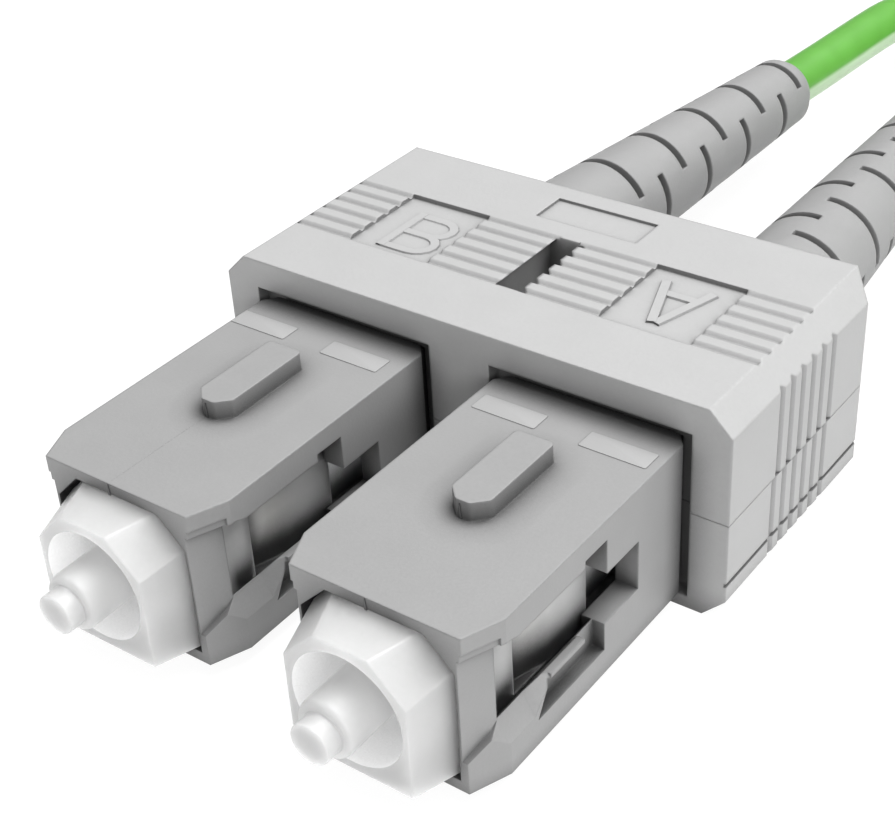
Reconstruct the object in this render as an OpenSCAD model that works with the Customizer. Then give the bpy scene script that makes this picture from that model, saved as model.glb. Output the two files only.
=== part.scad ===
// Duplex SC patch cord: two push-pull plugs side by side in a snap-together clip,
// on a twin cord whose spare length is coiled and tied, with the same end on the far side.
// X runs across the pair, Y from the ferrule tips (-Y) to the cord (+Y), Z up from the stand face.
// Lengths are in millimetres. In a sub-part, y = 0 is the front of the coupling sleeve
// and z = 0 is the ferrule axis.

/* [Pair] */
// Distance between the two ferrule axes
pitch = 12.7; // [12.3:0.1:13.3]
// Height of the ferrule axes above the face the pair rests on
axis_h = 4.5; // [4.5:0.1:5.5]

/* [Coupling sleeve] */
// Width of the grey coupling sleeve
sleeve_w = 9; // [8.8:0.1:9.2]
// Height of the coupling sleeve
sleeve_h = 7.4; // [7.2:0.1:7.6]
// Length of the coupling sleeve, its gripped rear end included
sleeve_l = 24; // [23.5:0.5:24.5]
// Length of the sleeve that stands out in front of its shoulder
sleeve_body_l = 14.5; // [13:0.1:14.5]
// Width across of the plan chamfer on each front corner
nose_chamfer_x = 0.7; // [0.5:0.1:0.8]
// Length along the sleeve of that chamfer
nose_chamfer_y = 1.7; // [1.2:0.1:1.8]
// Width of the polarity key on top
key_w = 1.8; // [1.4:0.1:2.2]
// Height of the polarity key
key_h = 0.85; // [0.6:0.05:1]
// Start of the polarity key behind the sleeve's front
key_y = 5.5; // [4:0.1:7]
// Length of the polarity key
key_l = 4.9; // [4:0.1:6]
// Depth of the relief in the sleeve's side posts
post_relief = 0.5; // [0.4:0.05:0.6]
// Depth of the pocket below each side window
pocket_d = 0.55; // [0.3:0.05:0.6]

/* [Plug frame] */
// Width of the white plug frame
frame_w = 6.7; // [6.5:0.1:6.9]
// Height of the plug frame
frame_h = 6.2; // [6:0.1:6.3]
// Length of the plug frame
frame_l = 17.4; // [17:0.1:17.6]
// How far the plug frame stands out of the sleeve at rest
frame_out = 1.9; // [1.7:0.1:2.1]
// Chamfer on the two upper corners of the frame
frame_chamfer = 1.25; // [1:0.05:1.4]
// Radius of the bore round the ferrule
bore_r = 2.5; // [2.3:0.05:2.6]
// Depth of that bore
bore_l = 5.8; // [5.4:0.1:6]
// Thickness of the wall that stops the ferrule flange
stop_wall = 1; // [0.8:0.1:1.2]

/* [Ferrule] */
// Radius of the ferrule
ferrule_r = 1.25; // [1.2:0.01:1.3]
// Length of the ferrule, its stepped tip included
ferrule_l = 11.25; // [11:0.05:11.5]
// How far the ferrule tip stands out of the plug frame
ferrule_out = 2.05; // [1.9:0.05:2.2]
// Radius of the stepped tip
tip_r = 0.8; // [0.6:0.05:0.9]
// Length of the stepped tip
tip_l = 0.75; // [0.5:0.05:0.9]
// Radius of the metal flange on the ferrule
flange_r = 2.25; // [2.1:0.05:2.3]
// Thickness of the metal flange
flange_l = 1.5; // [1.2:0.1:1.6]
// How far the ferrule can be pushed back
ferrule_travel = 1.2; // [1:0.1:1.4]
// Wire diameter of the ferrule spring
wire_d = 0.4; // [0.3:0.05:0.4]
// Number of turns of the ferrule spring
spring_turns = 7; // [5:1:8]

/* [Strain relief] */
// Outer radius of the boot where it leaves the clip
boot_r = 3.2; // [3:0.05:3.3]
// Outer radius of the boot's root inside the sleeve
boot_root_r = 2.95; // [2.8:0.05:3]
// Outer radius of the boot at its mouth
boot_mouth_r = 2.06; // [1.9:0.05:2.2]
// Distance from the sleeve's front to the boot's mouth
boot_end = 53.9; // [53.6:0.1:56]
// Angle by which each boot leans towards the other
boot_lean = 3.3; // [0:0.1:4]
// Angle by which the right boot is turned about its own axis
boot_roll = 42; // [0:1:90]
// Angle by which the left boot is turned about its own axis
boot_roll_b = 10; // [0:1:20]
// Step along the boot from one slot to the next
slot_pitch = 2.16; // [2:0.02:2.3]
// Width of a boot slot
slot_w = 0.5; // [0.4:0.05:0.7]
// Number of slots along one boot
slot_count = 10; // [8:1:10]

/* [Clip] */
// Width of the duplex clip
clip_w = 25.8; // [25.6:0.1:26.4]
// Length of the duplex clip
clip_l = 13.05; // [12.8:0.05:13.3]
// Height of the clip above the ferrule axes
clip_up = 5.6; // [5.4:0.1:6]
// Chamfer along the clip's long edges
clip_chamfer = 1.05; // [0.6:0.05:1.2]
// Height above the ferrule axes at which the two shells meet
seam_z = 0.4; // [0:0.1:0.8]
// Number of grip grooves in one set
groove_count = 6; // [4:1:6]
// Distance between grip grooves
groove_pitch = 0.93; // [0.8:0.01:0.95]
// Width of a grip groove
groove_w = 0.45; // [0.3:0.05:0.6]
// Depth of a grip groove
groove_d = 0.15; // [0.1:0.01:0.25]

/* [Cord] */
// Diameter of one cord jacket
jacket_d = 2.8; // [2.6:0.05:2.8]
// Width of the twin cord across both jackets
cord_w = 5.7; // [5.6:0.05:5.8]
// Radius of the outermost turn at the cord's centre
coil_r = 33; // [32:0.5:34]
// Number of whole and half turns in the coil
coil_turns = 4.5; // [3.5:1:4.5]
// Thickness of the straps that hold the coil
strap_t = 0.7; // [0.6:0.1:0.7]
// Width of those straps
strap_w = 8; // [6:1:10]

/* [Hidden] */
$fn = 48;

// Cut-through allowance, and the named clearances
eps = 0.1;
slide_gap = 0.1;   // between the plug frame and the sleeve it slides in
seat_gap = 0.05;   // between the ferrule flange and the wall it seats on
nest_gap = 0.1;    // between a piece and the hole it lies in
hold_gap = 0.2;    // between the clip's ribs and the sleeve's shoulders
mouth_gap = 0.3;   // round the sleeve in the clip's mouth

// Plug frame
frame_y = -frame_out;
frame_rear = frame_y + frame_l;
nose_w = 2 * bore_r + 0.5;
nose_l = 2.5;
nose_top = 2.9;
nose_bottom = 2.85;
wall_y = frame_y + bore_l;
chamber_y = wall_y + stop_wall;
chamber_r = flange_r + 0.2;
latch_z = 1.9;
latch_d = 0.7;

// Ferrule, flange and spring
ferrule_y = frame_y - ferrule_out;
ferrule_rear = ferrule_y + ferrule_l;
shank_r = ferrule_r - 0.2;
shank_y = wall_y - 0.05;
flange_y = chamber_y + seat_gap;
barrel_r = 1.45;
barrel_l = 1.7;
tail_r = 1.1;
tail_l = 2.8;
spring_r = (barrel_r + chamber_r) / 2;
spring_y = flange_y + flange_l;

// Stop body, crimp ring, fibre and jacket
post_y = spring_y + 5.7;
post_ring_r = 2.7;
post_bore_r = 1.3;
post_collar_r = 2.95;
post_collar_l = 1;
neck_r = 1.9;
neck_end = frame_rear + nest_gap + post_collar_l + 6.9;
catch_y = post_y + 0.7;
catch_l = 1.4;
catch_w = 2;
crimp_r = 2.45;
crimp_y = frame_rear + nest_gap + post_collar_l + 0.3;
eyelet_r = 1.85;
eyelet_l = 3.9;
eyelet_y = neck_end + nest_gap + 0.5;
eyelet_end = eyelet_y + eyelet_l;
squeeze_r = jacket_d / 2 - 0.1;
fibre_r = 0.45;
fibre_y = ferrule_rear + ferrule_travel + 0.5;
jacket_r = jacket_d / 2;
jacket_y = neck_end + 0.4;

// Boot
boot_y = crimp_y + 1;
boot_shoulder_y = neck_end + 2.5;
bend_gap = 0.5;
boot_bend = eyelet_end + bend_gap;
boot_bore_r = jacket_r + 0.15;
slot_floor = boot_bore_r + 0.35;
slot_half_angle = 50;
tip_y = boot_bend + (boot_end - boot_bend) * cos(boot_lean) + boot_mouth_r * sin(boot_lean);
jacket_end = boot_end - 4.5;
cord_start = boot_end - 3;
slots_y = 33.1;

// Sleeve
cavity_w = frame_w + 2 * slide_gap;
cavity_h = frame_h + 2 * slide_gap;
waist_w = sleeve_w - 1.1;
waist_h = sleeve_h - 0.6;
waist_l = 2.3;
window_low = -1.2;
window_high = 2.4;
rail_top = -0.9;
rail_end = 6.7;
pocket_end = 8.1;
window_end = 10.6;
tooth_y = 8.3;
tooth_low = 1.15;
tooth_top = 2.75;
pocket_low = -2.5;
post_l = 1.6;
post_high = 2.6;
plate_step_h = 0.45;
bevel_low = -2.2;
key_round = 0.25;
slope_y = 4.1;

// Clip
clip_y = sleeve_body_l - 0.45;
clip_rear = clip_y + clip_l;
rib_y = sleeve_body_l + hold_gap;
rib_l = waist_l - 2 * hold_gap;
hall_y = rib_y + rib_l;
hall_end = sleeve_l + 1.4;
boot_hole_r = boot_r + 0.35;
pad_w = 4.4;
pad_x = pitch / 2 + 0.3 - pad_w / 2;
pad_d = 0.2;
panel_d = 0.12;
groove_y = 18;
groove_end = clip_w / 2 - 1;
slot_half = 0.6;
slot_l = 4.95;
hollow_half = 1.1;
hollow_floor = 0.8;
roof = 0.5;
peg_r = 0.6;
peg_h = 1.5;
band_z = -2.6;

// Places of the two ends and of the coil, in the part's own frame
end_y = -(tip_y + ferrule_y) / 2;
lay_in = -6;
coil_x = lay_in + coil_r;
far_x = 2 * coil_x;
coil_y = 90;
lay_pitch = 3.6;
layer_h = cord_w + 0.6;
layer_z = strap_t + cord_w / 2;
coil_steps = 24;
coil_n = coil_turns * coil_steps;
climb_n = coil_steps / 2;
coil_lead = 6;

// ---------------------------------------------------------------- shared shapes

// A box centred on X that runs from y, z by l and h
module slab(w, y, l, z, h) {
    translate([-w / 2, y, z]) cube([w, l, h]);
}

// A round bar along Y
module bar(r, y, l) {
    translate([0, y, 0]) rotate([-90, 0, 0]) cylinder(r = r, h = l);
}

// A round tube along Y
module tube(r, hole_r, y, l) {
    difference() {
        bar(r, y, l);
        bar(hole_r, y - eps, l + 2 * eps);
    }
}

// The outline of the plug frame: square below, chamfered on the two upper corners
module frame_outline(w, low, high, c) {
    polygon([
        [-w / 2, low], [w / 2, low], [w / 2, high - c],
        [w / 2 - c, high], [-w / 2 + c, high], [-w / 2, high - c]
    ]);
}

// That outline carried along Y
module frame_bar(w, low, high, c, y, l) {
    translate([0, y + l, 0]) rotate([90, 0, 0]) linear_extrude(l) frame_outline(w, low, high, c);
}

// The same solid on both sides of a plug
module both_sides() {
    children();
    mirror([1, 0, 0]) children();
}

// ---------------------------------------------------------------- sleeve

// Plan of the sleeve: chamfered at the front corners
module sleeve_plan(inset) {
    w = sleeve_w / 2 - inset;
    polygon([
        [-w + nose_chamfer_x, 0], [w - nose_chamfer_x, 0], [w, nose_chamfer_y],
        [w, sleeve_body_l - 0.6], [w - 0.5, sleeve_body_l],
        [-w + 0.5, sleeve_body_l], [-w, sleeve_body_l - 0.6], [-w, nose_chamfer_y]
    ]);
}

// Polarity key with a blunt pointed front
module key() {
    k = key_w / 2;
    translate([0, 0, sleeve_h / 2 - eps]) linear_extrude(key_h + eps)
        offset(r = key_round) offset(delta = -key_round) polygon([
            [-k * 0.35, key_y], [k * 0.35, key_y], [k, key_y + k * 0.65],
            [k, key_y + key_l], [-k, key_y + key_l], [-k, key_y + k * 0.65]
        ]);
}

// The opening in one side wall, seen along X as points [y, z]
module window_cut() {
    wall = (sleeve_w - frame_w) / 2 + 2 * eps;
    translate([frame_w / 2 - eps, 0, 0]) rotate([90, 0, 90]) linear_extrude(wall) polygon([
        [post_l, rail_top], [rail_end, rail_top], [rail_end, window_low], [window_end, window_low],
        [window_end, tooth_low], [tooth_y, tooth_low], [tooth_y, tooth_top],
        [rail_end + 0.1, tooth_top], [rail_end + 0.1, window_high], [post_l, window_high]
    ]);
    translate([0, pocket_end, 0]) rotate([90, 0, 0]) linear_extrude(pocket_end - post_l) polygon([
        [frame_w / 2 - eps, rail_top + 0.1], [sleeve_w / 2 - 0.25, rail_top + eps],
        [sleeve_w / 2 - 0.75, rail_top - 0.5],
        [sleeve_w / 2 - 0.75, -2.1], [frame_w / 2 - eps, -2.1]
    ]);
}

// The shallow pocket under the window
module pocket_cut() {
    translate([sleeve_w / 2 - pocket_d, 0, 0]) rotate([90, 0, 90]) linear_extrude(pocket_d + eps) polygon([
        [slope_y - 0.6, pocket_low], [pocket_end, pocket_low], [pocket_end, window_low + eps],
        [rail_end, window_low + eps], [rail_end, window_low + 0.1], [slope_y + 0.2, window_low + 0.1]
    ]);
}

// The relief that sets the side posts back between the top and bottom plates
module post_cut() {
    post_w = sleeve_w / 2 - post_relief;
    post_front = cavity_w / 2 + 0.12;
    intersection() {
        translate([0, 0, pocket_low]) linear_extrude(post_high - pocket_low) difference() {
            translate([0, -eps]) square([sleeve_w, 5]);
            polygon([[0, -1], [post_front, -1], [post_front, 0], [post_w, 1.2], [post_w, 6], [0, 6]]);
        }
        rotate([90, 0, 90]) linear_extrude(sleeve_w) polygon([
            [-1, pocket_low + 0.3], [0, pocket_low + 0.3], [post_l, window_low], [post_l + 0.8, window_low],
            [post_l + 0.8, window_high], [post_l, post_high + eps], [-1, post_high + eps]
        ]);
    }
}

// The bevel below the window, from the post down to the bottom plate's edge, and its run out to the pocket
module bevel_cut() {
    post_w = sleeve_w / 2 - post_relief;
    hull() {
        translate([0, slope_y - 0.8, 0]) rotate([90, 0, 0]) linear_extrude(slope_y) polygon([
            [sleeve_w / 2, bevel_low], [sleeve_w, bevel_low], [sleeve_w, rail_top + eps],
            [post_w, rail_top + eps], [post_w, window_low]
        ]);
        translate([0, slope_y + 0.3, 0]) rotate([90, 0, 0]) linear_extrude(eps) polygon([
            [sleeve_w / 2, window_low + 0.1], [sleeve_w, window_low + 0.1], [sleeve_w, rail_top + eps],
            [sleeve_w / 2 - 0.25, rail_top + eps]
        ]);
    }
}

// The shallow step under the top plate's front corners
module plate_step() {
    translate([0, 0, post_high - eps]) linear_extrude(plate_step_h) difference() {
        translate([0, -eps]) square([sleeve_w, post_l]);
        sleeve_plan(0.1);
    }
}

module sleeve() {
    color("#a2a2a2") difference() {
        union() {
            translate([0, 0, -sleeve_h / 2]) linear_extrude(sleeve_h) sleeve_plan(0);
            slab(waist_w, sleeve_body_l - eps, waist_l + 2 * eps, -waist_h / 2, waist_h);
            slab(sleeve_w, sleeve_body_l + waist_l, sleeve_l - sleeve_body_l - waist_l,
                -sleeve_h / 2, sleeve_h);
            key();
        }
        frame_bar(cavity_w, -cavity_h / 2, cavity_h / 2, frame_chamfer, -eps, sleeve_l + 2 * eps);
        both_sides() {
            window_cut();
            pocket_cut();
            post_cut();
            bevel_cut();
            plate_step();
        }
    }
}

// ---------------------------------------------------------------- plug frame and what it holds

// Front of the frame, drawn in from its full section to the rim of the bore
module frame_nose() {
    hull() {
        frame_bar(nose_w, -nose_bottom, nose_top, 1.55, frame_y, 0.05);
        frame_bar(frame_w, -frame_h / 2, frame_h / 2, frame_chamfer, frame_y + nose_l, 0.05);
    }
}

// Catches in the frame's side for the hooks of an adapter: a ramped notch and a square one
module latch_cuts() {
    translate([0, 0, -latch_z]) linear_extrude(2 * latch_z) {
        polygon([[frame_w / 2 - latch_d, 3.6], [frame_w / 2 + eps, 3.6], [frame_w / 2 + eps, 6.2]]);
        translate([frame_w / 2 - latch_d, 8.6]) square([latch_d + eps, 3]);
    }
}

module plug_frame() {
    color("#f4f4f2") difference() {
        union() {
            frame_nose();
            frame_bar(frame_w, -frame_h / 2, frame_h / 2, frame_chamfer,
                frame_y + nose_l, frame_l - nose_l);
        }
        bar(bore_r, frame_y - eps, bore_l + eps);
        bar(ferrule_r + 0.2, wall_y - eps, stop_wall + 2 * eps);
        bar(chamber_r, chamber_y, post_y - chamber_y + eps);
        bar(post_ring_r + nest_gap / 2, post_y, frame_rear - post_y + eps);
        slab(catch_w + 2 * nest_gap, catch_y - nest_gap, catch_l + 2 * nest_gap, -frame_h, 2 * frame_h);
        both_sides() latch_cuts();
    }
}

module ferrule() {
    round = 0.25;
    body_y = ferrule_y + tip_l;
    color("#f2eee2") difference() {
        union() {
            bar(tip_r, ferrule_y, tip_l + eps);
            translate([0, body_y, 0]) rotate([-90, 0, 0]) rotate_extrude() polygon([
                [0, 0], [ferrule_r - round, 0], [ferrule_r, round], [ferrule_r, shank_y - body_y],
                [shank_r, shank_y - body_y], [shank_r, ferrule_l - tip_l], [0, ferrule_l - tip_l]
            ]);
        }
        bar(fibre_r + nest_gap, ferrule_rear - 3, 3 + eps);
    }
}

module ferrule_flange() {
    color("#b9bcc0") difference() {
        union() {
            bar(flange_r, flange_y, flange_l);
            bar(barrel_r, spring_y - eps, barrel_l + eps);
            bar(tail_r, spring_y + barrel_l - eps, tail_l + eps);
        }
        bar(shank_r, flange_y - eps, ferrule_rear - flange_y + eps);
        bar(fibre_r + 0.15, ferrule_rear - eps, barrel_l + tail_l);
    }
}

// Compression spring: one wire swept along a helix
module ferrule_spring() {
    steps = spring_turns * 8;
    low = spring_y + wire_d / 2 + 0.05;
    rise = post_y - spring_y - wire_d - 0.1;
    function at(i) = [
        spring_r * cos(i * 45),
        low + rise * i / steps,
        spring_r * sin(i * 45)
    ];
    color("#9fa3a8")
        sweep([for (i = [0:steps]) at(i)], ngon(6, wire_d / 2), [for (i = [0:steps]) 0], [0, 1, 0]);
}

module stop_body() {
    collar_y = frame_rear + nest_gap;
    color("#c4c6c8") difference() {
        union() {
            bar(post_ring_r, post_y, collar_y - post_y + eps);
            slab(catch_w, catch_y, catch_l, -frame_h / 2, frame_h);
            bar(post_collar_r, collar_y, post_collar_l);
            bar(neck_r, collar_y, neck_end - collar_y);
        }
        bar(post_bore_r, post_y - eps, neck_end - post_y + 2 * eps);
    }
}

module crimp_ring() {
    color("#d8d4c4") union() {
        tube(crimp_r, neck_r + nest_gap / 2, crimp_y, neck_end + nest_gap - crimp_y);
        tube(crimp_r, squeeze_r + nest_gap / 2, neck_end + nest_gap - eps, 0.6 + eps);
        tube(eyelet_r, squeeze_r + nest_gap / 2, eyelet_y, eyelet_l);
    }
}

module fibre() {
    color("#e9e4d4") bar(fibre_r, fibre_y, jacket_y - fibre_y);
}

// ---------------------------------------------------------------- boot and jacket

// Turns what lies beyond the boot's bend towards the middle of the pair
module leaning(side) {
    translate([0, boot_bend, 0]) rotate([0, 0, side * boot_lean]) translate([0, -boot_bend, 0]) children();
}

// Flat cuts on two opposite faces of the boot, alternately above and below, and left and right
module boot_slots() {
    reach = boot_r + 0.5;
    for (i = [0:slot_count - 1]) {
        floor_r = slot_floor - (slot_floor - boot_bore_r) * 0.75 * i / (slot_count - 1);
        for (s = [90, 270]) {
            y = slots_y + i * slot_pitch - slot_w / 2;
            translate([0, y, 0]) rotate([0, s + 90 * (i % 2), 0]) intersection() {
                tube(reach, floor_r, 0, slot_w);
                rotate([-90, 0, 0]) linear_extrude(slot_w) polygon([
                    [0, 0], [reach * tan(slot_half_angle), -reach], [-reach * tan(slot_half_angle), -reach]
                ]);
            }
        }
    }
}

module boot(side) {
    bend = boot_bend - 0.5;
    lip = 0.5;
    roll = side > 0 ? -boot_roll : boot_roll_b;
    color("#cacaca") difference() {
        union() {
            bar(boot_root_r, boot_y, boot_bend - boot_y);
            bar(boot_r, boot_shoulder_y, boot_bend - boot_shoulder_y);
            leaning(side) translate([0, bend, 0]) rotate([-90, 0, 0])
                cylinder(r1 = boot_r - 0.1, r2 = boot_mouth_r, h = boot_end - lip - bend);
            leaning(side) translate([0, boot_end - lip - eps, 0]) rotate([-90, 0, 0])
                cylinder(r1 = boot_mouth_r, r2 = boot_mouth_r - 0.25, h = lip + eps);
        }
        bar(crimp_r + nest_gap, boot_y - eps, neck_end + 0.8 + nest_gap - boot_y);
        bar(eyelet_r + nest_gap, boot_y, boot_bend + nest_gap - boot_y);
        leaning(side) bar(boot_bore_r, bend, boot_end - bend + eps);
        leaning(side) rotate([0, roll, 0]) boot_slots();
    }
}

module jacket(side) {
    color("#6cbf45") union() {
        bar(squeeze_r, jacket_y, boot_bend - jacket_y);
        leaning(side) bar(jacket_r, boot_bend - 0.4, jacket_end - boot_bend + 0.4);
    }
}

// ---------------------------------------------------------------- clip

// The clip's whole outside: chamfered along its long edges and down its rear corners
module clip_outside() {
    w = clip_w / 2;
    c = clip_chamfer;
    intersection() {
        translate([0, clip_rear, 0]) rotate([90, 0, 0]) linear_extrude(clip_l) polygon([
            [-w + c, -axis_h], [w - c, -axis_h], [w, -axis_h + c], [w, clip_up - c],
            [w - c, clip_up], [-w + c, clip_up], [-w, clip_up - c], [-w, -axis_h + c]
        ]);
        translate([0, 0, -axis_h - eps]) linear_extrude(axis_h + clip_up + 2 * eps) polygon([
            [-w, clip_y], [w, clip_y], [w, clip_rear - c],
            [w - c, clip_rear], [-w + c, clip_rear], [-w, clip_rear - c]
        ]);
    }
}

// The space inside the clip for one channel
module clip_channel() {
    mouth_w = sleeve_w + 2 * mouth_gap;
    mouth_up = clip_up - 1.4;
    mouth_down = axis_h - 0.6;
    hall_h = sleeve_h + 2 * nest_gap;
    slab(mouth_w, clip_y - eps, rib_y - clip_y + eps, -mouth_down, mouth_up + mouth_down);
    slab(waist_w + 2 * nest_gap, rib_y - eps, rib_l + 2 * eps,
        -waist_h / 2 - nest_gap, waist_h + 2 * nest_gap);
    slab(sleeve_w + 2 * nest_gap, hall_y, hall_end - hall_y, -hall_h / 2, hall_h);
    bar(boot_hole_r, hall_end - eps, clip_rear - hall_end + 2 * eps);
}

// A grip groove in section: a rounded vee, open upwards
module groove_section() {
    w = groove_w / 2;
    polygon([
        [-w, eps], [-w, 0], [-w * 0.3, -groove_d * 0.85], [0, -groove_d],
        [w * 0.3, -groove_d * 0.85], [w, 0], [w, eps]
    ]);
}

// One set of transverse grooves on the clip's top, from x by w
module top_grooves(x, w) {
    for (i = [0:groove_count - 1]) {
        translate([x, groove_y + i * groove_pitch, clip_up]) rotate([90, 0, 90])
            linear_extrude(w) groove_section();
    }
}

// Upright grooves on the clip's right side, from z by h, set forward by shift
module side_grooves(z, h, shift) {
    for (i = [0:groove_count - 1]) {
        translate([clip_w / 2, groove_y + 0.2 + i * groove_pitch - shift, z]) linear_extrude(h)
            rotate(-90) groove_section();
    }
}

// Shallow sunk panel behind the slot
module panel_cut() {
    slab(5.3, clip_rear - 3.1, 2, clip_up - panel_d, panel_d + eps);
}

// The slot between the pads: narrow at the top, with a thin edge over a hollow that ends above the floor
module slot_cut() {
    floor_z = hollow_floor - axis_h;
    translate([0, groove_y - 0.2 + slot_l, 0]) rotate([90, 0, 0]) linear_extrude(slot_l) polygon([
        [-slot_half, clip_up + eps], [-slot_half, clip_up], [-hollow_half, clip_up - roof],
        [-hollow_half, floor_z], [hollow_half, floor_z], [hollow_half, clip_up - roof],
        [slot_half, clip_up], [slot_half, clip_up + eps]
    ]);
}

// Everything that is cut out of the clip's outside
module clip_cuts() {
    for (s = [-1, 1]) {
        translate([s * pitch / 2, 0, 0]) clip_channel();
    }
    both_sides() {
        top_grooves(slot_half - eps, pad_x - slot_half + 2 * eps);
        top_grooves(pad_x + pad_w - eps, groove_end - pad_x - pad_w + eps);
        translate([pad_x, groove_y - groove_w / 2, clip_up - pad_d])
            cube([pad_w, (groove_count - 1) * groove_pitch + groove_w, pad_d + eps]);
        side_grooves(seam_z, clip_up, 0);
        side_grooves(-axis_h, axis_h + seam_z, 0.3);
        translate([clip_w / 2 - 0.12, clip_y - eps, band_z - 0.1]) cube([1, clip_l + 1, 0.2]);
    }
    panel_cut();
    slot_cut();
}

// Places of the pegs that locate the two shells, on the wall between the channels
module at_pegs() {
    for (y = [clip_y + 1.7, hall_end - 0.6]) {
        translate([0, y, seam_z]) children();
    }
}

module clip_top() {
    color("#d0d0d0") difference() {
        intersection() {
            clip_outside();
            slab(2 * clip_w, 0, 2 * clip_rear, seam_z + 0.02, clip_up + 1);
        }
        clip_cuts();
        at_pegs() translate([0, 0, -eps]) cylinder(r = peg_r + nest_gap, h = peg_h + 0.2 + eps);
    }
}

module clip_bottom() {
    color("#c8c8c8") union() {
        difference() {
            intersection() {
                clip_outside();
                slab(2 * clip_w, 0, 2 * clip_rear, -axis_h - 1, axis_h + 1 + seam_z);
            }
            clip_cuts();
        }
        at_pegs() translate([0, 0, -eps]) cylinder(r = peg_r, h = peg_h + eps);
    }
}

// ---------------------------------------------------------------- swept cord

// A ring of n points round the origin
function ngon(n, r) = [for (i = [0:n - 1]) [r * cos(i * 360 / n + 180 / n), r * sin(i * 360 / n + 180 / n)]];

// The twin cord's section, long side upright: two round jackets under one smooth outline
function twin(n) = [
    for (i = [0:n - 1])
        let (a = i * 360 / n + 180 / n)
        [jacket_r * cos(a), (cord_w / 2 - jacket_r) * sign(sin(a)) + jacket_r * sin(a)]
];

function unit(v) = v / norm(v);

// Direction of the path at point i, from its neighbours
function heading(p, i) = unit(p[min(i + 1, len(p) - 1)] - p[max(i - 1, 0)]);

// Ring i of a sweep: the profile turned by the twist and set square to the path
function sweep_ring(p, prof, twist, up, i) =
    let (
        t = heading(p, i),
        s = unit(cross(up, t)),
        u = cross(t, s),
        a = twist[i]
    )
    [for (q = prof) p[i] + s * (q[0] * cos(a) - q[1] * sin(a)) + u * (q[0] * sin(a) + q[1] * cos(a))];

// One closed tube: the profile carried along the points, with flat ends
module sweep(p, prof, twist, up = [0, 0, 1]) {
    n = len(prof);
    last = len(p) - 1;
    rings = [for (i = [0:last]) each sweep_ring(p, prof, twist, up, i)];
    walls = [
        for (i = [0:last - 1])
            for (j = [0:n - 1])
                let (a = i * n + j, b = i * n + (j + 1) % n, c = a + n, d = b + n)
                each [[a, c, d], [a, d, b]]
    ];
    front = [for (j = [1:n - 2]) [0, j, j + 1]];
    rear = [for (j = [1:n - 2]) [last * n, last * n + j + 1, last * n + j]];
    polyhedron(points = rings, faces = concat(walls, front, rear), convexity = 6);
}

// A point on the leaning part of a boot's axis, y behind the sleeve's front, in the part's frame
function on_boot(end_x, side, y) = [
    end_x + side * (pitch / 2 - (y - boot_bend) * sin(boot_lean)),
    boot_bend + (y - boot_bend) * cos(boot_lean) + end_y,
    axis_h
];

// Where the two bands start, along Y, and how far the cord lies to the left of the near pair's middle
split_y = 60;
far_split_y = 57;
run_x = -2;

// Routes of the free jackets behind the near boots, right one and left one
leg_a_route = [
    [4.6, 33, 4.5], [4.4, 36, 4.4], [4, 39, 4.1], [3.4, 42, 3.6], [2.6, 45, 2.9], [1.7, 48, 2.2],
    [0.8, 51, 1.7], [0.1, 54, 1.45], [-0.4, 56.5, 1.4], [-0.55, 58, 1.4], [-0.55, 59, 1.4], [-0.55, 62, 1.4]
];
leg_b_route = [
    [-4.6, 33, 4.5], [-4.43, 36, 4.5], [-4.26, 39, 4.5], [-4.1, 42, 4.4], [-3.9, 45, 4], [-3.8, 48, 3.3],
    [-3.65, 51, 2.5], [-3.5, 54, 1.8], [-3.45, 56.5, 1.45], [-3.45, 58, 1.4], [-3.45, 59, 1.4],
    [-3.45, 62, 1.4]
];
// Route of the twin cord from the near split to the coil, and how far it has turned on edge
run_route = [
    [-2, 62, 1.4], [-2, 64, 1.4], [-2, 68, 1.5], [-2.4, 71, 2], [-3.4, 74, 2.7], [-4.6, 77, 3.2],
    [-5.5, 80, 3.5], [-6, 83, 3.55], [-6, 84, 3.55]
];
run_twist = [90, 90, 90, 75, 50, 25, 8, 0, 0];
// Route of the twin cord from the coil down to the far split, across from the far end's middle
far_run_points = [
    [6, 84, 9.85], [6, 83, 9.85], [6, 82, 9.7], [5.6, 79, 9], [4.7, 76, 7.6], [3.6, 73, 5.9], [2.7, 70, 4.2],
    [2.2, 67.5, 3], [2, 65, 1.9], [2, 62, 1.45], [2, 60, 1.4], [2, 59, 1.4]
];
far_run_twist = [0, 0, 0, 10, 30, 50, 70, 83, 90, 90, 90, 90];
far_run_route = [for (q = far_run_points) [far_x + q[0], q[1], q[2]]];

// Mirror image of a near leg's route at the far end, six millimetres shorter
function far_leg(route) = [for (q = route) if (q[1] < 60) [far_x - q[0], q[1], q[2]]];

// Centre line of the coil: in along the lower layer, up in the half turn where it reverses, out above
function coil_at(i) =
    let (
        half = coil_n / 2,
        in = min(i, coil_n - i),
        r = coil_r - lay_pitch * in / coil_steps,
        up = min(1, max(0, (i - half + climb_n / 2) / climb_n)),
        a = 180 - i * 360 / coil_steps
    )
    [coil_x + r * cos(a), coil_y + r * sin(a), layer_z + layer_h * up];

coil_route = concat(
    [[coil_x - coil_r, coil_y - coil_lead, layer_z]],
    [for (i = [0:coil_n]) coil_at(i)],
    [[coil_x + coil_r, coil_y - coil_lead, layer_z + layer_h]]
);

// Least distance between turns: along the run in plan, and from layer to layer
function turn_gap(i, j) =
    let (d = coil_route[i] - coil_route[j], flat = norm([d[0], d[1]]), high = abs(d[2]))
    high < cord_w - jacket_d
        ? flat - jacket_d
        : norm([flat, high - cord_w + jacket_d]) - jacket_d;
coil_gap = min([
    for (i = [0:len(coil_route) - 1])
        for (j = [i + 14:len(coil_route) - 1])
            turn_gap(i, j)
]);
echo(coil_least_gap = coil_gap);

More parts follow.
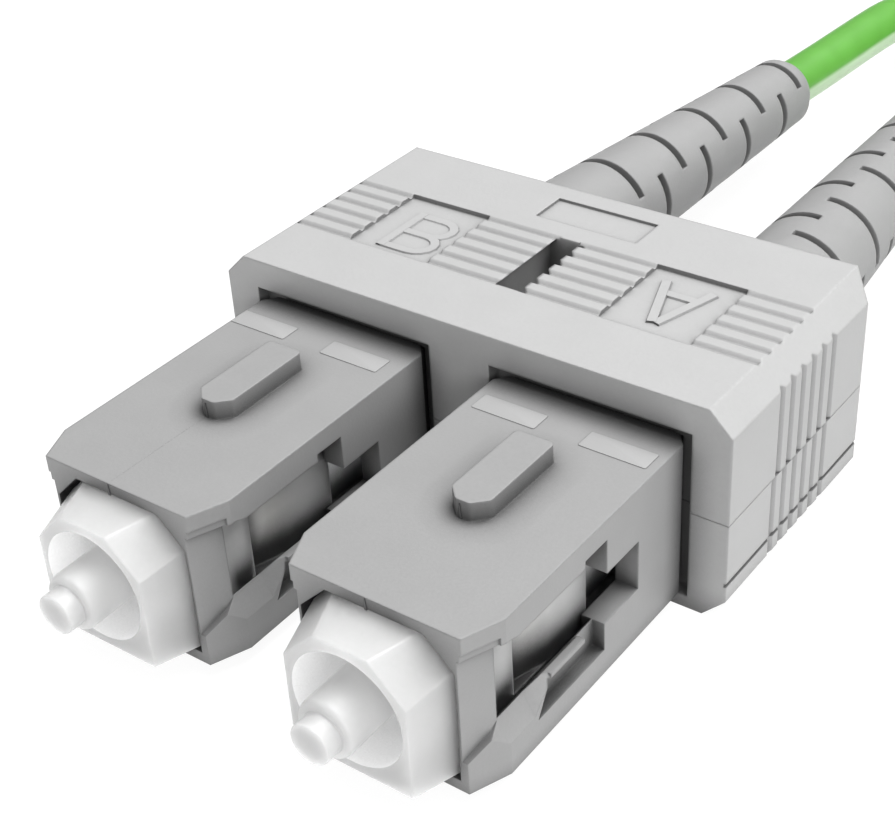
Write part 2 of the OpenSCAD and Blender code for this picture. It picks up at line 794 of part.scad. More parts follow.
// Length of a route
function run_length(p, i = 0) = i >= len(p) - 1 ? 0 : norm(p[i + 1] - p[i]) + run_length(p, i + 1);
echo(cord_length = 2 * (boot_end - ferrule_y) + 2 * run_length(leg_a_route) + run_length(run_route)
    + run_length(coil_route) + run_length(far_run_route));

module leg(end_x, side, route) {
    points = concat([on_boot(end_x, side, cord_start), on_boot(end_x, side, cord_start + 4)], route);
    color("#6cbf45") sweep(points, ngon(8, jacket_r), [for (q = points) 0]);
}

// Band over the place where the twin cord divides
module band(x, y) {
    wall = 0.5;
    half = cord_w / 2 - jacket_r;
    hole = jacket_r + nest_gap;
    color("#2f2f31") translate([x, y, jacket_r + 0.1]) rotate([-90, 0, 0]) linear_extrude(5) difference() {
        translate([-half - hole - wall, -hole - wall + 0.15])
            square([2 * (half + hole + wall), 2 * hole + 1.35 * wall]);
        translate([-half - hole, -hole + 0.1]) square([2 * (half + hole), 2 * hole - 0.1]);
    }
}

// Strap round the coil at its angle a, where the turns begin q of a turn in and are n of a turn deep
module coil_tie(a, q, n) {
    r_out = coil_r - lay_pitch * q + jacket_r + 0.1;
    r_in = coil_r - lay_pitch * (q + n) - jacket_r - 0.65;
    high = 2 * strap_t + layer_h + cord_w + 0.1;
    color("#3a3a3c") translate([coil_x, coil_y, 0]) rotate([0, 0, a]) difference() {
        translate([r_in - strap_t, -strap_w / 2, 0]) cube([r_out - r_in + 2 * strap_t, strap_w, high]);
        translate([r_in, -strap_w / 2 - eps, strap_t])
            cube([r_out - r_in, strap_w + 2 * eps, high - 2 * strap_t]);
    }
}

// ---------------------------------------------------------------- placing

// A sub-part set in the channel on one side (1 right, -1 left) of the end at x
module at(x, side) {
    translate([x + side * pitch / 2, end_y, axis_h]) children();
}

// A clip shell set on the end at x
module on_end(x) {
    translate([x, end_y, axis_h]) children();
}

on_end(0) clip_top();
on_end(0) clip_bottom();
at(0, 1) sleeve();  // sleeve_a
at(0, -1) sleeve();  // sleeve_b
at(0, 1) plug_frame();  // plug_frame_a
at(0, -1) plug_frame();  // plug_frame_b
at(0, 1) ferrule();  // ferrule_a
at(0, -1) ferrule();  // ferrule_b
at(0, 1) ferrule_flange();  // ferrule_flange_a
at(0, -1) ferrule_flange();  // ferrule_flange_b
at(0, 1) ferrule_spring();  // ferrule_spring_a
at(0, -1) ferrule_spring();  // ferrule_spring_b
at(0, 1) stop_body();  // stop_body_a
at(0, -1) stop_body();  // stop_body_b
at(0, 1) crimp_ring();  // crimp_ring_a
at(0, -1) crimp_ring();  // crimp_ring_b
at(0, 1) boot(1);  // boot_a
at(0, -1) boot(-1);  // boot_b
at(0, 1) fibre();  // fibre_a
at(0, -1) fibre();  // fibre_b
at(0, 1) jacket(1);  // jacket_a
at(0, -1) jacket(-1);  // jacket_b
leg(0, 1, leg_a_route);  // leg_a
leg(0, -1, leg_b_route);  // leg_b
band(run_x, split_y);  // split_band
color("#6cbf45") sweep(run_route, twin(8), run_twist);  // cord_run
color("#6cbf45") sweep(coil_route, twin(6), [for (q = coil_route) 0]);  // cord_coil
coil_tie(90, 0.25, floor(coil_turns / 2 - 0.25));  // coil_tie_rear
coil_tie(-90, 0.75, floor(coil_turns / 2 - 0.75));  // coil_tie_front
color("#6cbf45") sweep(far_run_route, twin(8), far_run_twist);  // far_cord_run
band(far_x - run_x, far_split_y);  // far_split_band
leg(far_x, 1, far_leg(leg_b_route));  // far_leg_a
leg(far_x, -1, far_leg(leg_a_route));  // far_leg_b
on_end(far_x) clip_top();  // far_clip_top
on_end(far_x) clip_bottom();  // far_clip_bottom
at(far_x, 1) sleeve();  // far_sleeve_a
at(far_x, -1) sleeve();  // far_sleeve_b
at(far_x, 1) plug_frame();  // far_plug_frame_a
at(far_x, -1) plug_frame();  // far_plug_frame_b
at(far_x, 1) ferrule();  // far_ferrule_a
at(far_x, -1) ferrule();  // far_ferrule_b
at(far_x, 1) ferrule_flange();  // far_ferrule_flange_a
at(far_x, -1) ferrule_flange();  // far_ferrule_flange_b
at(far_x, 1) ferrule_spring();  // far_ferrule_spring_a
at(far_x, -1) ferrule_spring();  // far_ferrule_spring_b
at(far_x, 1) stop_body();  // far_stop_body_a
at(far_x, -1) stop_body();  // far_stop_body_b
at(far_x, 1) crimp_ring();  // far_crimp_ring_a
at(far_x, -1) crimp_ring();  // far_crimp_ring_b
at(far_x, 1) boot(1);  // far_boot_a
at(far_x, -1) boot(-1);  // far_boot_b
at(far_x, 1) fibre();  // far_fibre_a
at(far_x, -1) fibre();  // far_fibre_b
at(far_x, 1) jacket(1);  // far_jacket_a
at(far_x, -1) jacket(-1);  // far_jacket_b
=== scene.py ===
"""Duplex fibre patch cord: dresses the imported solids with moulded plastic, ceramic and jacket finishes,
winds the twin cord, and adds the fine trim. Lengths are millimetres until they reach a mesh."""

import math

import bmesh
import bpy
import numpy as np
from bpy.props import FloatProperty, FloatVectorProperty, PointerProperty
from bpy.types import Operator, Panel, PropertyGroup
from mathutils import Matrix, Vector


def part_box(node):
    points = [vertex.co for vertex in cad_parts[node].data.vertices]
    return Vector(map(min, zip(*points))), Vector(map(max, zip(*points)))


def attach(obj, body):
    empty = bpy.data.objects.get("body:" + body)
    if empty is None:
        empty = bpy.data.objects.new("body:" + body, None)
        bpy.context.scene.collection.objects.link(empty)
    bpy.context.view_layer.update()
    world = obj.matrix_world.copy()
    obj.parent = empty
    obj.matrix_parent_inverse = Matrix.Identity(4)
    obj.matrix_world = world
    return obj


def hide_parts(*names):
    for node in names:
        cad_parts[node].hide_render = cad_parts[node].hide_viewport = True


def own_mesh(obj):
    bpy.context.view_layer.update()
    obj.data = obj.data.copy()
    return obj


bl_info = {
    "name": "Duplex fibre patch cord",
    "version": (1, 0, 0),
    "blender": (4, 5, 0),
    "location": "View3D > Sidebar > Patch cord",
    "description": "Finishes, cord and trim of a duplex fibre patch cord",
    "category": "Object",
}

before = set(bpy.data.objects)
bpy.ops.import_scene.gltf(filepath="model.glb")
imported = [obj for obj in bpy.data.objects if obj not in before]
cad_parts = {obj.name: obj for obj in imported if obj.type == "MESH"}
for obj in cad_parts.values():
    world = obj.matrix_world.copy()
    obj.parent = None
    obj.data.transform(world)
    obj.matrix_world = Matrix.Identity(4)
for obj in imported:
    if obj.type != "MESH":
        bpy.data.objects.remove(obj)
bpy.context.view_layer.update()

MM = 0.001


def box_mm(node):
    """Lowest and highest corner of a CAD node, in millimetres."""
    low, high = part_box(node)
    return np.array(low) / MM, np.array(high) / MM


SLEEVE_LOW, SLEEVE_HIGH = box_mm("sleeve_a")
FAR_LOW, FAR_HIGH = box_mm("far_clip_top")
CLIP_TOP = float(box_mm("clip_top")[1][2])
KEY_HEIGHT = 0.85  # of a key above its sleeve's top
SLEEVE_TOP = float(SLEEVE_HIGH[2]) - KEY_HEIGHT
FRONT_Y = float(SLEEVE_LOW[1])
AXIS_X = float(SLEEVE_LOW[0] + SLEEVE_HIGH[0]) / 2
AXIS_Z = 4.5  # height of the plugs' axes above the sheet
FAR_X = float(FAR_LOW[0] + FAR_HIGH[0]) / 2
ENDS = (("near", "", 0.0), ("far", "far_", FAR_X))
SIDES = (("a", 1.0), ("b", -1.0))
# each plug's end, the prefix of its nodes, its letter and the place of its axis
PLUGS = tuple((end, prefix, letter, x + side * AXIS_X) for end, prefix, x in ENDS for letter, side in SIDES)


# ---------------------------------------------------------------- colour and nodes

# most of a noise's values lie between these
NOISE_SPAN = {"From Min": 0.3, "From Max": 0.7}


def linear(code):
    """sRGB hex code to linear RGB: c / 12.92 below 0.04045, else ((c + 0.055) / 1.055) to the power 2.4."""
    c = np.array([int(code[i : i + 2], 16) for i in (1, 3, 5)]) / 255.0
    return tuple(float(v) for v in np.where(c <= 0.04045, c / 12.92, ((c + 0.055) / 1.055) ** 2.4))


def add(tree, kind, settings=None, values=None, links=None):
    """Adds a node: settings are its attributes, values its free inputs, links its inputs fed by outputs."""
    made = tree.nodes.new(kind)
    for key, value in (settings or {}).items():
        setattr(made, key, value)
    for key, value in (values or {}).items():
        made.inputs[key].default_value = value
    for key, source in (links or {}).items():
        tree.links.new(source, made.inputs[key])
    return made


def new_material(name):
    """An empty node material with its output, returned with its tree and output node."""
    mat = bpy.data.materials.new(name)
    mat.use_nodes = True
    mat.node_tree.nodes.clear()
    return mat, mat.node_tree, add(mat.node_tree, "ShaderNodeOutputMaterial")


def moulded(name, colour, roughness, grain_mm, grain_depth_mm, edge_mm, shade=0.03, ior=1.5,
            subsurface=0.0, depth_mm=0.6, through=0.0, nook_shade=0.15):
    """Injection-moulded plastic. The tool's spark-eroded face leaves a fine grain, edges are broken by
    edge_mm, and the colour drifts by the share `shade` over a few millimetres, as flow and handling leave
    it. In hollows narrower than about nook_mm the colour is darkened to the share `nook_shade`: painted
    shade, for the light that hardly reaches there. Light enters a milky plastic by depth_mm, and `through`
    sets a painted glow in the plug's bore, for light that would come through its walls."""
    cloud_mm, nook_mm = 2.2, 1.6
    mat, tree, out = new_material(name)
    where = add(tree, "ShaderNodeTexCoord").outputs["Object"]
    cloud = add(tree, "ShaderNodeTexNoise", links={"Vector": where},
                values={"Scale": 1 / (cloud_mm * MM), "Detail": 3.0, "Roughness": 0.55})
    grain = add(tree, "ShaderNodeTexNoise", links={"Vector": where},
                values={"Scale": 1 / (grain_mm * MM), "Detail": 2.0, "Roughness": 0.6})
    tone = add(tree, "ShaderNodeMapRange", links={"Value": cloud.outputs["Fac"]},
               values={**NOISE_SPAN, "To Min": 1 - shade, "To Max": 1 + shade})
    # painted shade: ambient occlusion darkens the colour in hollows narrower than nook_mm
    nook = add(tree, "ShaderNodeAmbientOcclusion", settings={"samples": 6}, values={"Distance": nook_mm * MM})
    painted_shade = add(tree, "ShaderNodeMapRange", links={"Value": nook.outputs["AO"]},
                values={"From Min": 0.47, "From Max": 0.96, "To Min": nook_shade, "To Max": 1.0})
    painted_shade = painted_shade.outputs["Result"]
    # a plug's finish keeps this painted shade to the sleeves' windows and paints a glow in its bore
    if through:
        painted_shade, glow = painted_glow_and_shade(tree, where, nook.outputs["AO"], painted_shade, through)
    speckle = add(tree, "ShaderNodeMapRange", links={"Value": grain.outputs["Fac"]},
                  values={**NOISE_SPAN, "To Min": 1 - 1.2 * shade, "To Max": 1 + 1.2 * shade})
    drift = add(tree, "ShaderNodeMath", settings={"operation": "MULTIPLY"},
                links={0: tone.outputs["Result"], 1: speckle.outputs["Result"]})
    level = add(tree, "ShaderNodeMath", settings={"operation": "MULTIPLY"},
                links={0: drift.outputs[0], 1: painted_shade})
    base = add(tree, "ShaderNodeVectorMath", settings={"operation": "SCALE"}, values={0: colour},
               links={"Scale": level.outputs[0]})
    rough = add(tree, "ShaderNodeMapRange", links={"Value": grain.outputs["Fac"]},
                values={"From Min": 0.25, "From Max": 0.75,
                        "To Min": roughness - 0.06, "To Max": roughness + 0.06})
    bump = add(tree, "ShaderNodeBump", links={"Height": grain.outputs["Fac"]},
               values={"Strength": 0.6, "Distance": grain_depth_mm * MM})
    if edge_mm:
        edge = add(tree, "ShaderNodeBevel", settings={"samples": 6}, values={"Radius": edge_mm * MM})
        tree.links.new(edge.outputs["Normal"], bump.inputs["Normal"])
    skin = add(tree, "ShaderNodeBsdfPrincipled", values={"IOR": ior},
               links={"Base Color": base.outputs["Vector"], "Roughness": rough.outputs["Result"],
                      "Normal": bump.outputs["Normal"]})
    if subsurface:
        skin.inputs["Subsurface Weight"].default_value = subsurface
        skin.inputs["Subsurface Radius"].default_value = (1.0, 1.0, 1.0)
        skin.inputs["Subsurface Scale"].default_value = depth_mm * MM
    # painted glow: the bore's hollows emit the finish's own colour
    if through:
        skin.inputs["Emission Color"].default_value = (*colour, 1.0)
        tree.links.new(glow, skin.inputs["Emission Strength"])
    tree.links.new(skin.outputs["BSDF"], out.inputs["Surface"])
    return mat


def painted_glow_and_shade(tree, where, nook, painted_shade, through):
    """Painted glow and painted shade on a plug's thin walls, for light that would come through them. The plug's
    hollows get painted shade only in the sleeves' windows, from window_from to window_full behind the front,
    and not where the attribute "bore" is 1. There they get a painted glow instead, from nothing in the open
    up to `through` in the deepest nook. Returns the painted shade and the painted glow."""
    window_from, window_full = 2.0, 2.6
    bore = add(tree, "ShaderNodeAttribute", settings={"attribute_name": "bore"}).outputs["Fac"]
    along = add(tree, "ShaderNodeSeparateXYZ", links={"Vector": where}).outputs["Y"]
    behind = add(tree, "ShaderNodeMapRange", links={"Value": along},
                 values={"From Min": (FRONT_Y + window_from) * MM, "From Max": (FRONT_Y + window_full) * MM})
    outside = add(tree, "ShaderNodeMath", settings={"operation": "SUBTRACT", "use_clamp": True},
                  links={0: behind.outputs["Result"], 1: bore})
    # painted shade in the windows' hollows, none in the open front or in the bore
    shade = add(tree, "ShaderNodeMix", settings={"data_type": "FLOAT"}, values={2: 1.0},
                links={0: outside.outputs[0], 3: painted_shade})
    # painted glow in the bore's hollows: the more closed in, the brighter
    painted_glow_level = add(tree, "ShaderNodeMapRange", links={"Value": nook},
                 values={"From Min": 0.1, "From Max": 0.95, "To Min": through, "To Max": 0.0})
    glow = add(tree, "ShaderNodeMath", settings={"operation": "MULTIPLY"},
               links={0: painted_glow_level.outputs["Result"], 1: bore})
    return shade.outputs[0], glow.outputs[0]


def metal(name, colour, roughness, scratch_mm):
    """Turned or plated metal: its roughness follows the fine rings that the tool left, scratch_mm apart."""
    mat, tree, out = new_material(name)
    where = add(tree, "ShaderNodeTexCoord").outputs["Object"]
    rings = add(tree, "ShaderNodeTexWave", settings={"bands_direction": "Y"}, links={"Vector": where},
                values={"Scale": 1 / (scratch_mm * MM), "Distortion": 2.0, "Detail": 2.0})
    rough = add(tree, "ShaderNodeMapRange", links={"Value": rings.outputs["Fac"]},
                values={"To Min": roughness - 0.05, "To Max": roughness + 0.08})
    bump = add(tree, "ShaderNodeBump", links={"Height": rings.outputs["Fac"]},
               values={"Strength": 0.3, "Distance": 0.01 * MM})
    skin = add(tree, "ShaderNodeBsdfPrincipled", values={"Metallic": 1.0, "Base Color": (*colour, 1.0)},
               links={"Roughness": rough.outputs["Result"], "Normal": bump.outputs["Normal"]})
    tree.links.new(skin.outputs["BSDF"], out.inputs["Surface"])
    return mat


def extruded_jacket(name, colour, sheet_light):
    """Extruded PVC cord jacket: satin skin with faint die lines along the cord and slow waves of gloss. As
    the normal's height falls from 0.16 to 0 its colour pales towards the sheet's tint by the share
    `sheet_light`: a painted reflection of the white sheet's light."""
    cloud_mm = 1.6
    painted_sheet_tint = (0.9, 0.95, 0.85, 1.0)
    mat, tree, out = new_material(name)
    where = add(tree, "ShaderNodeTexCoord").outputs["Object"]
    uv = add(tree, "ShaderNodeUVMap", settings={"uv_map": "cord"}).outputs["UV"]
    split = add(tree, "ShaderNodeSeparateXYZ", links={"Vector": uv})
    lines = add(tree, "ShaderNodeTexNoise", settings={"noise_dimensions": "1D"},
                values={"Scale": 1.0, "Detail": 2.0}, links={"W": split.outputs["X"]})
    cloud = add(tree, "ShaderNodeTexNoise", links={"Vector": where},
                values={"Scale": 1 / (cloud_mm * MM), "Detail": 3.0})
    tone = add(tree, "ShaderNodeMapRange", links={"Value": cloud.outputs["Fac"]},
               values={**NOISE_SPAN, "To Min": 0.96, "To Max": 1.04})
    # painted reflection of the white sheet: faces that turn down are paled towards its tint
    facing = add(tree, "ShaderNodeNewGeometry").outputs["Normal"]
    height = add(tree, "ShaderNodeSeparateXYZ", links={"Vector": facing}).outputs["Z"]
    painted_sheet_share = add(tree, "ShaderNodeMapRange", links={"Value": height},
                values={"From Min": 0.16, "From Max": 0.0, "To Min": 0.0, "To Max": sheet_light})
    pale = add(tree, "ShaderNodeMix", settings={"data_type": "RGBA"}, links={0: painted_sheet_share.outputs["Result"]},
               values={6: (*colour, 1.0), 7: painted_sheet_tint})
    base = add(tree, "ShaderNodeVectorMath", settings={"operation": "SCALE"},
               links={0: pale.outputs[2], "Scale": tone.outputs["Result"]})
    rough = add(tree, "ShaderNodeMapRange", links={"Value": cloud.outputs["Fac"]},
                values={**NOISE_SPAN, "To Min": 0.36, "To Max": 0.46})
    fine = add(tree, "ShaderNodeBump", links={"Height": lines.outputs["Fac"]},
               values={"Strength": 0.25, "Distance": 0.02 * MM})
    bump = add(tree, "ShaderNodeBump", values={"Strength": 0.25, "Distance": 0.03 * MM},
               links={"Height": cloud.outputs["Fac"], "Normal": fine.outputs["Normal"]})
    skin = add(tree, "ShaderNodeBsdfPrincipled",
               values={"IOR": 1.53, "Subsurface Weight": 0.12, "Subsurface Radius": (0.6, 1.0, 0.4),
                       "Subsurface Scale": 0.5 * MM},
               links={"Base Color": base.outputs["Vector"], "Roughness": rough.outputs["Result"],
                      "Normal": bump.outputs["Normal"]})
    tree.links.new(skin.outputs["BSDF"], out.inputs["Surface"])
    return mat


def woven_strap(name, colour):
    """Hook-and-loop strap: looped nylon pile, drawn as raised cells loop_mm apart with a soft sheen."""
    loop_mm = 0.5
    mat, tree, out = new_material(name)
    where = add(tree, "ShaderNodeTexCoord").outputs["Object"]
    loops = add(tree, "ShaderNodeTexVoronoi", links={"Vector": where},
                values={"Scale": 1 / (loop_mm * MM), "Randomness": 0.8})
    tone = add(tree, "ShaderNodeMapRange", links={"Value": loops.outputs["Distance"]},
               values={"To Min": 1.5, "To Max": 0.55})
    base = add(tree, "ShaderNodeVectorMath", settings={"operation": "SCALE"}, values={0: colour},
               links={"Scale": tone.outputs["Result"]})
    bump = add(tree, "ShaderNodeBump", settings={"invert": True}, links={"Height": loops.outputs["Distance"]},
               values={"Strength": 0.8, "Distance": 0.12 * MM})
    skin = add(tree, "ShaderNodeBsdfPrincipled",
               values={"Roughness": 0.85, "Sheen Weight": 0.4, "Sheen Roughness": 0.5},
               links={"Base Color": base.outputs["Vector"], "Normal": bump.outputs["Normal"]})
    tree.links.new(skin.outputs["BSDF"], out.inputs["Surface"])
    return mat


def material(name, maker, *args, **settings):
    """The material of that name, made once."""
    return bpy.data.materials.get(name) or maker(name, *args, **settings)


def single_jacket(colours):
    """The finish of the jackets that lie alone, whose undersides carry a painted reflection of the white sheet.
    """
    return material("extruded PVC jacket, lime", extruded_jacket, tuple(colours.jacket), sheet_light=0.4)


# ---------------------------------------------------------------- meshes


def set_on_body(name, mesh, finish, body, crease):
    """Makes an object of a mesh, gives it its finish, and sets it on its body. Edges turned by more than
    `crease` degrees stay sharp, and the rest is shaded smooth."""
    mesh.polygons.foreach_set("use_smooth", np.ones(len(mesh.polygons), dtype=bool))
    mesh.set_sharp_from_angle(angle=math.radians(crease))
    mesh.materials.clear()
    mesh.materials.append(finish)
    made = bpy.data.objects.new(name, mesh)
    bpy.context.scene.collection.objects.link(made)
    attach(made, body)
    return made


def mesh_piece(name, points, faces, finish, body, uv=None, crease=35):
    """A new piece from points in millimetres, with its faces and, on cords, its UV map in millimetres."""
    mesh = bpy.data.meshes.new(name)
    corners = [tuple(int(i) for i in face) for face in faces]
    mesh.from_pydata((np.asarray(points, dtype=float) * MM).tolist(), [], corners)
    if uv is not None:
        layer = mesh.uv_layers.new(name="cord")
        loops = np.zeros(len(mesh.loops), dtype=np.int32)
        mesh.loops.foreach_get("vertex_index", loops)
        layer.data.foreach_set("uv", np.asarray(uv, dtype=np.float32)[loops].ravel())
    mesh.validate()
    return set_on_body(name, mesh, finish, body, crease)


def smooth_copy(node, name, finish, body, crease=32):
    """A CAD solid's own surface with its doubles merged and its round faces smooth, standing for the solid."""
    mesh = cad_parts[node].data.copy()
    mesh.name = name
    work = bmesh.new()
    work.from_mesh(mesh)
    bmesh.ops.remove_doubles(work, verts=work.verts, dist=1e-7)
    work.to_mesh(mesh)
    work.free()
    given = mesh.attributes.get("custom_normal")
    if given:
        mesh.attributes.remove(given)
    made = set_on_body(name, mesh, finish, body, crease)
    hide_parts(node)
    return made


def dress(node, finish):
    """Gives a CAD node that keeps its own shape a finish."""
    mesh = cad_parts[node].data
    mesh.materials.clear()
    mesh.materials.append(finish)


def outward(obj):
    """Recalculates a closed shell's normals so that they all point outwards."""
    work = bmesh.new()
    work.from_mesh(obj.data)
    bmesh.ops.recalc_face_normals(work, faces=work.faces)
    work.to_mesh(obj.data)
    work.free()


def joined(parts):
    """Several (points, faces) lists as one."""
    points, faces, base = [], [], 0
    for p, f in parts:
        points.append(np.asarray(p))
        faces.extend(tuple(i + base for i in face) for face in f)
        base += len(p)
    return np.vstack(points), faces


def capped_grid(rows, columns):
    """Faces of a grid whose last column meets its first: a quad between each four neighbours, and one flat
    face over the first row and one over the last."""
    i, j = np.meshgrid(np.arange(rows - 1), np.arange(columns), indexing="ij")
    a = i * columns + j
    b = i * columns + (j + 1) % columns
    quads = np.stack([a, b, b + columns, a + columns], axis=-1).reshape(-1, 4)
    first = tuple(range(columns))[::-1]
    last = tuple(range((rows - 1) * columns, rows * columns))
    return [tuple(f) for f in quads] + [first, last]


def run_along(points):
    """Distance along a line from its start to each of its points: the running sum of its steps' lengths."""
    steps = np.diff(np.asarray(points, dtype=float)[:, :3], axis=0)
    return np.concatenate([[0], np.cumsum(np.linalg.norm(steps, axis=1))])


def smooth_line(points, step, samples=12):
    """A uniform Catmull-Rom curve through the points, resampled at an even step of arc length.
    Between p1 and p2, with end slopes (p2 - p0) / 2 and (p3 - p1) / 2, it is the cubic that meets them."""
    p = np.asarray(points, dtype=float)
    ext = np.vstack([2 * p[0] - p[1], p, 2 * p[-1] - p[-2]])
    t = np.linspace(0, 1, samples, endpoint=False)[None, :, None]
    p0, p1, p2, p3 = (ext[k : len(ext) - 3 + k][:, None, :] for k in range(4))
    square, cube = 2 * p0 - 5 * p1 + 4 * p2 - p3, 3 * p1 - p0 - 3 * p2 + p3
    curve = 0.5 * (2 * p1 + (p2 - p0) * t + square * t**2 + cube * t**3)
    return even_line(np.vstack([curve.reshape(-1, 3), p[-1:]]), step)


def even_line(points, step):
    """The same line with its points an even distance of about `step` apart."""
    p = np.asarray(points, dtype=float)
    run = run_along(p)
    at = np.linspace(0, run[-1], max(3, int(round(run[-1] / step)) + 1))
    return np.stack([np.interp(at, run, p[:, k]) for k in range(p.shape[1])], axis=1)


def tube_surface(path, profile, twist):
    """Carries a closed profile along a path. At each point the profile's x runs level, across the path, and
    its y square to both; the profile is first turned by the twist angle there. Returns points, faces and
    UVs in mm."""
    p = np.asarray(path, dtype=float)
    tangent = np.gradient(p, axis=0)
    tangent /= np.linalg.norm(tangent, axis=1, keepdims=True)
    side = np.cross(np.array([0.0, 0.0, 1.0]), tangent)
    side /= np.linalg.norm(side, axis=1, keepdims=True)
    up = np.cross(tangent, side)
    c, s = np.cos(twist)[:, None], np.sin(twist)[:, None]
    x = profile[:, 0][None, :] * c - profile[:, 1][None, :] * s
    y = profile[:, 0][None, :] * s + profile[:, 1][None, :] * c
    rings = p[:, None, :] + side[:, None, :] * x[:, :, None] + up[:, None, :] * y[:, :, None]
    uv = np.stack(np.meshgrid(run_along(p), run_along(profile), indexing="ij")[::-1], axis=-1)
    return rings.reshape(-1, 3), capped_grid(len(p), len(profile)), uv.reshape(-1, 2)


def round_profile(radius, count=20):
    """A circle: radius times (cos a, sin a)."""
    a = np.arange(count) * 2 * np.pi / count
    return radius * np.stack([np.cos(a), np.sin(a)], axis=1)


def twin_profile(width, jacket, count=15):
    """Twin cord's outline. At height h its half width is the jacket circle's, sqrt(r^2 - (|h| - c)^2),
    where c is half the distance between the two cores, and in the valley between them no less than the
    web's half width."""
    r = jacket / 2
    c = width / 2 - r
    web = 0.42 * r
    h = -(c + r) * np.cos(np.linspace(0, np.pi, count))
    lobe = np.sqrt(np.clip(r * r - (np.abs(h) - c) ** 2, 0, None))
    half = np.where(np.abs(h) < c, np.maximum(lobe, web), lobe)
    right = np.stack([half[:-1], h[:-1]], axis=1)
    return np.vstack([right, -right])


def rounded_outline(half_x, half_y, radius, arc=5):
    """A rectangle with round corners: each corner is a quarter circle about its own centre."""
    a = np.concatenate([np.linspace(q, q + np.pi / 2, arc) for q in (0, np.pi / 2, np.pi, 3 * np.pi / 2)])
    cx = np.repeat([1, -1, -1, 1], arc) * (half_x - radius)
    cy = np.repeat([1, 1, -1, -1], arc) * (half_y - radius)
    return np.stack([cx + radius * np.cos(a), cy + radius * np.sin(a)], axis=1)


def plate(outline, low, high, edge):
    """A low plate over an outline in plan: its rings go up the wall, then in and up over a rounded edge."""
    o = np.asarray(outline, dtype=float)
    centre = (o.min(axis=0) + o.max(axis=0)) / 2
    half = (o.max(axis=0) - o.min(axis=0)) / 2
    drop = np.linspace(0, np.pi / 2, 4)
    inset = np.concatenate([[0], edge * (1 - np.cos(drop))])
    z = np.concatenate([[low], high - edge + edge * np.sin(drop)])
    scale = 1 - inset[:, None] / half[None, :]
    rings = centre + (o - centre)[None, :, :] * scale[:, None, :]
    heights = np.broadcast_to(z[:, None, None], (len(z), len(o), 1))
    return np.concatenate([rings, heights], axis=2).reshape(-1, 3), capped_grid(len(z), len(o))


def stroke(line, half_width, low, high, foot=0.06):
    """A raised bar with sloping sides along a line in plan. At each point the section is a trapezium square
    to the line, wider at its foot by `foot` each side."""
    p = np.asarray(line, dtype=float)
    t = np.gradient(p, axis=0)
    t /= np.linalg.norm(t, axis=1, keepdims=True)
    n = np.stack([-t[:, 1], t[:, 0]], axis=1)
    off = np.array([half_width + foot, half_width, -half_width, -half_width - foot])
    z = np.array([low, high, high, low])
    q = p[:, None, :] + n[:, None, :] * off[None, :, None]
    heights = np.broadcast_to(z[None, :, None], (len(p), len(z), 1))
    points = np.concatenate([q, heights], axis=2).reshape(-1, 3)
    return points, [face[::-1] for face in capped_grid(len(p), len(z))]


# ---------------------------------------------------------------- settings


class PatchCordSizes(PropertyGroup):
    """Sizes of the free cord."""

    jacket: FloatProperty(
        name="Jacket diameter", description="Outside diameter of one jacket, in millimetres",
        default=2.8, min=1.6, max=3.0)
    width: FloatProperty(
        name="Twin width", description="Width across both jackets, in millimetres",
        default=5.7, min=3.2, max=6.2)
    coil_radius: FloatProperty(
        name="Coil radius", description="Radius of the outermost turn, in millimetres", default=33.0)
    turn_step: FloatProperty(
        name="Turn step", description="Distance between turns side by side, in millimetres", default=3.6)
    layer_step: FloatProperty(
        name="Layer step", description="Distance between the two layers, in millimetres", default=6.3)
    turns: FloatProperty(name="Turns", description="Turns in the coil", default=4.5)
    rest: FloatProperty(
        name="Lower layer", description="Height of its centre line, in millimetres", default=3.55)


class PatchCordColours(PropertyGroup):
    """Base colours of the moulded and extruded parts."""

    clip: FloatVectorProperty(
        name="Clip", description="Light grey ABS", subtype="COLOR", default=linear("#9f9f9f"))
    sleeve: FloatVectorProperty(
        name="Coupling sleeve", description="Mid grey PBT", subtype="COLOR", default=linear("#878787"))
    mark: FloatVectorProperty(
        name="Index mark", description="Pale printed mark", subtype="COLOR", default=linear("#949494"))
    plug: FloatVectorProperty(
        name="Plug frame", description="Natural white PBT", subtype="COLOR", default=linear("#a8a8a8"))
    ferrule: FloatVectorProperty(
        name="Ferrule", description="Ground zirconia", subtype="COLOR", default=linear("#aeaeae"))
    boot: FloatVectorProperty(
        name="Boot", description="Light grey elastomer", subtype="COLOR", default=linear("#878787"))
    jacket: FloatVectorProperty(
        name="Jacket", description="Lime green PVC", subtype="COLOR", default=linear("#569638"))


class PatchCordTrim(PropertyGroup):
    """Fine trim on the clip and the sleeves."""

    stroke_width: FloatProperty(
        name="Letter stroke", description="Width of a raised letter's stroke, in millimetres", default=0.4)
    letter_height: FloatProperty(
        name="Letter height", description="Height of a letter above its bed, in millimetres", default=0.11)
    mark_length: FloatProperty(
        name="Mark length", description="Length across of an index mark, in millimetres", default=3.05)
    mark_width: FloatProperty(
        name="Mark width", description="Width of an index mark, in millimetres", default=1.07)


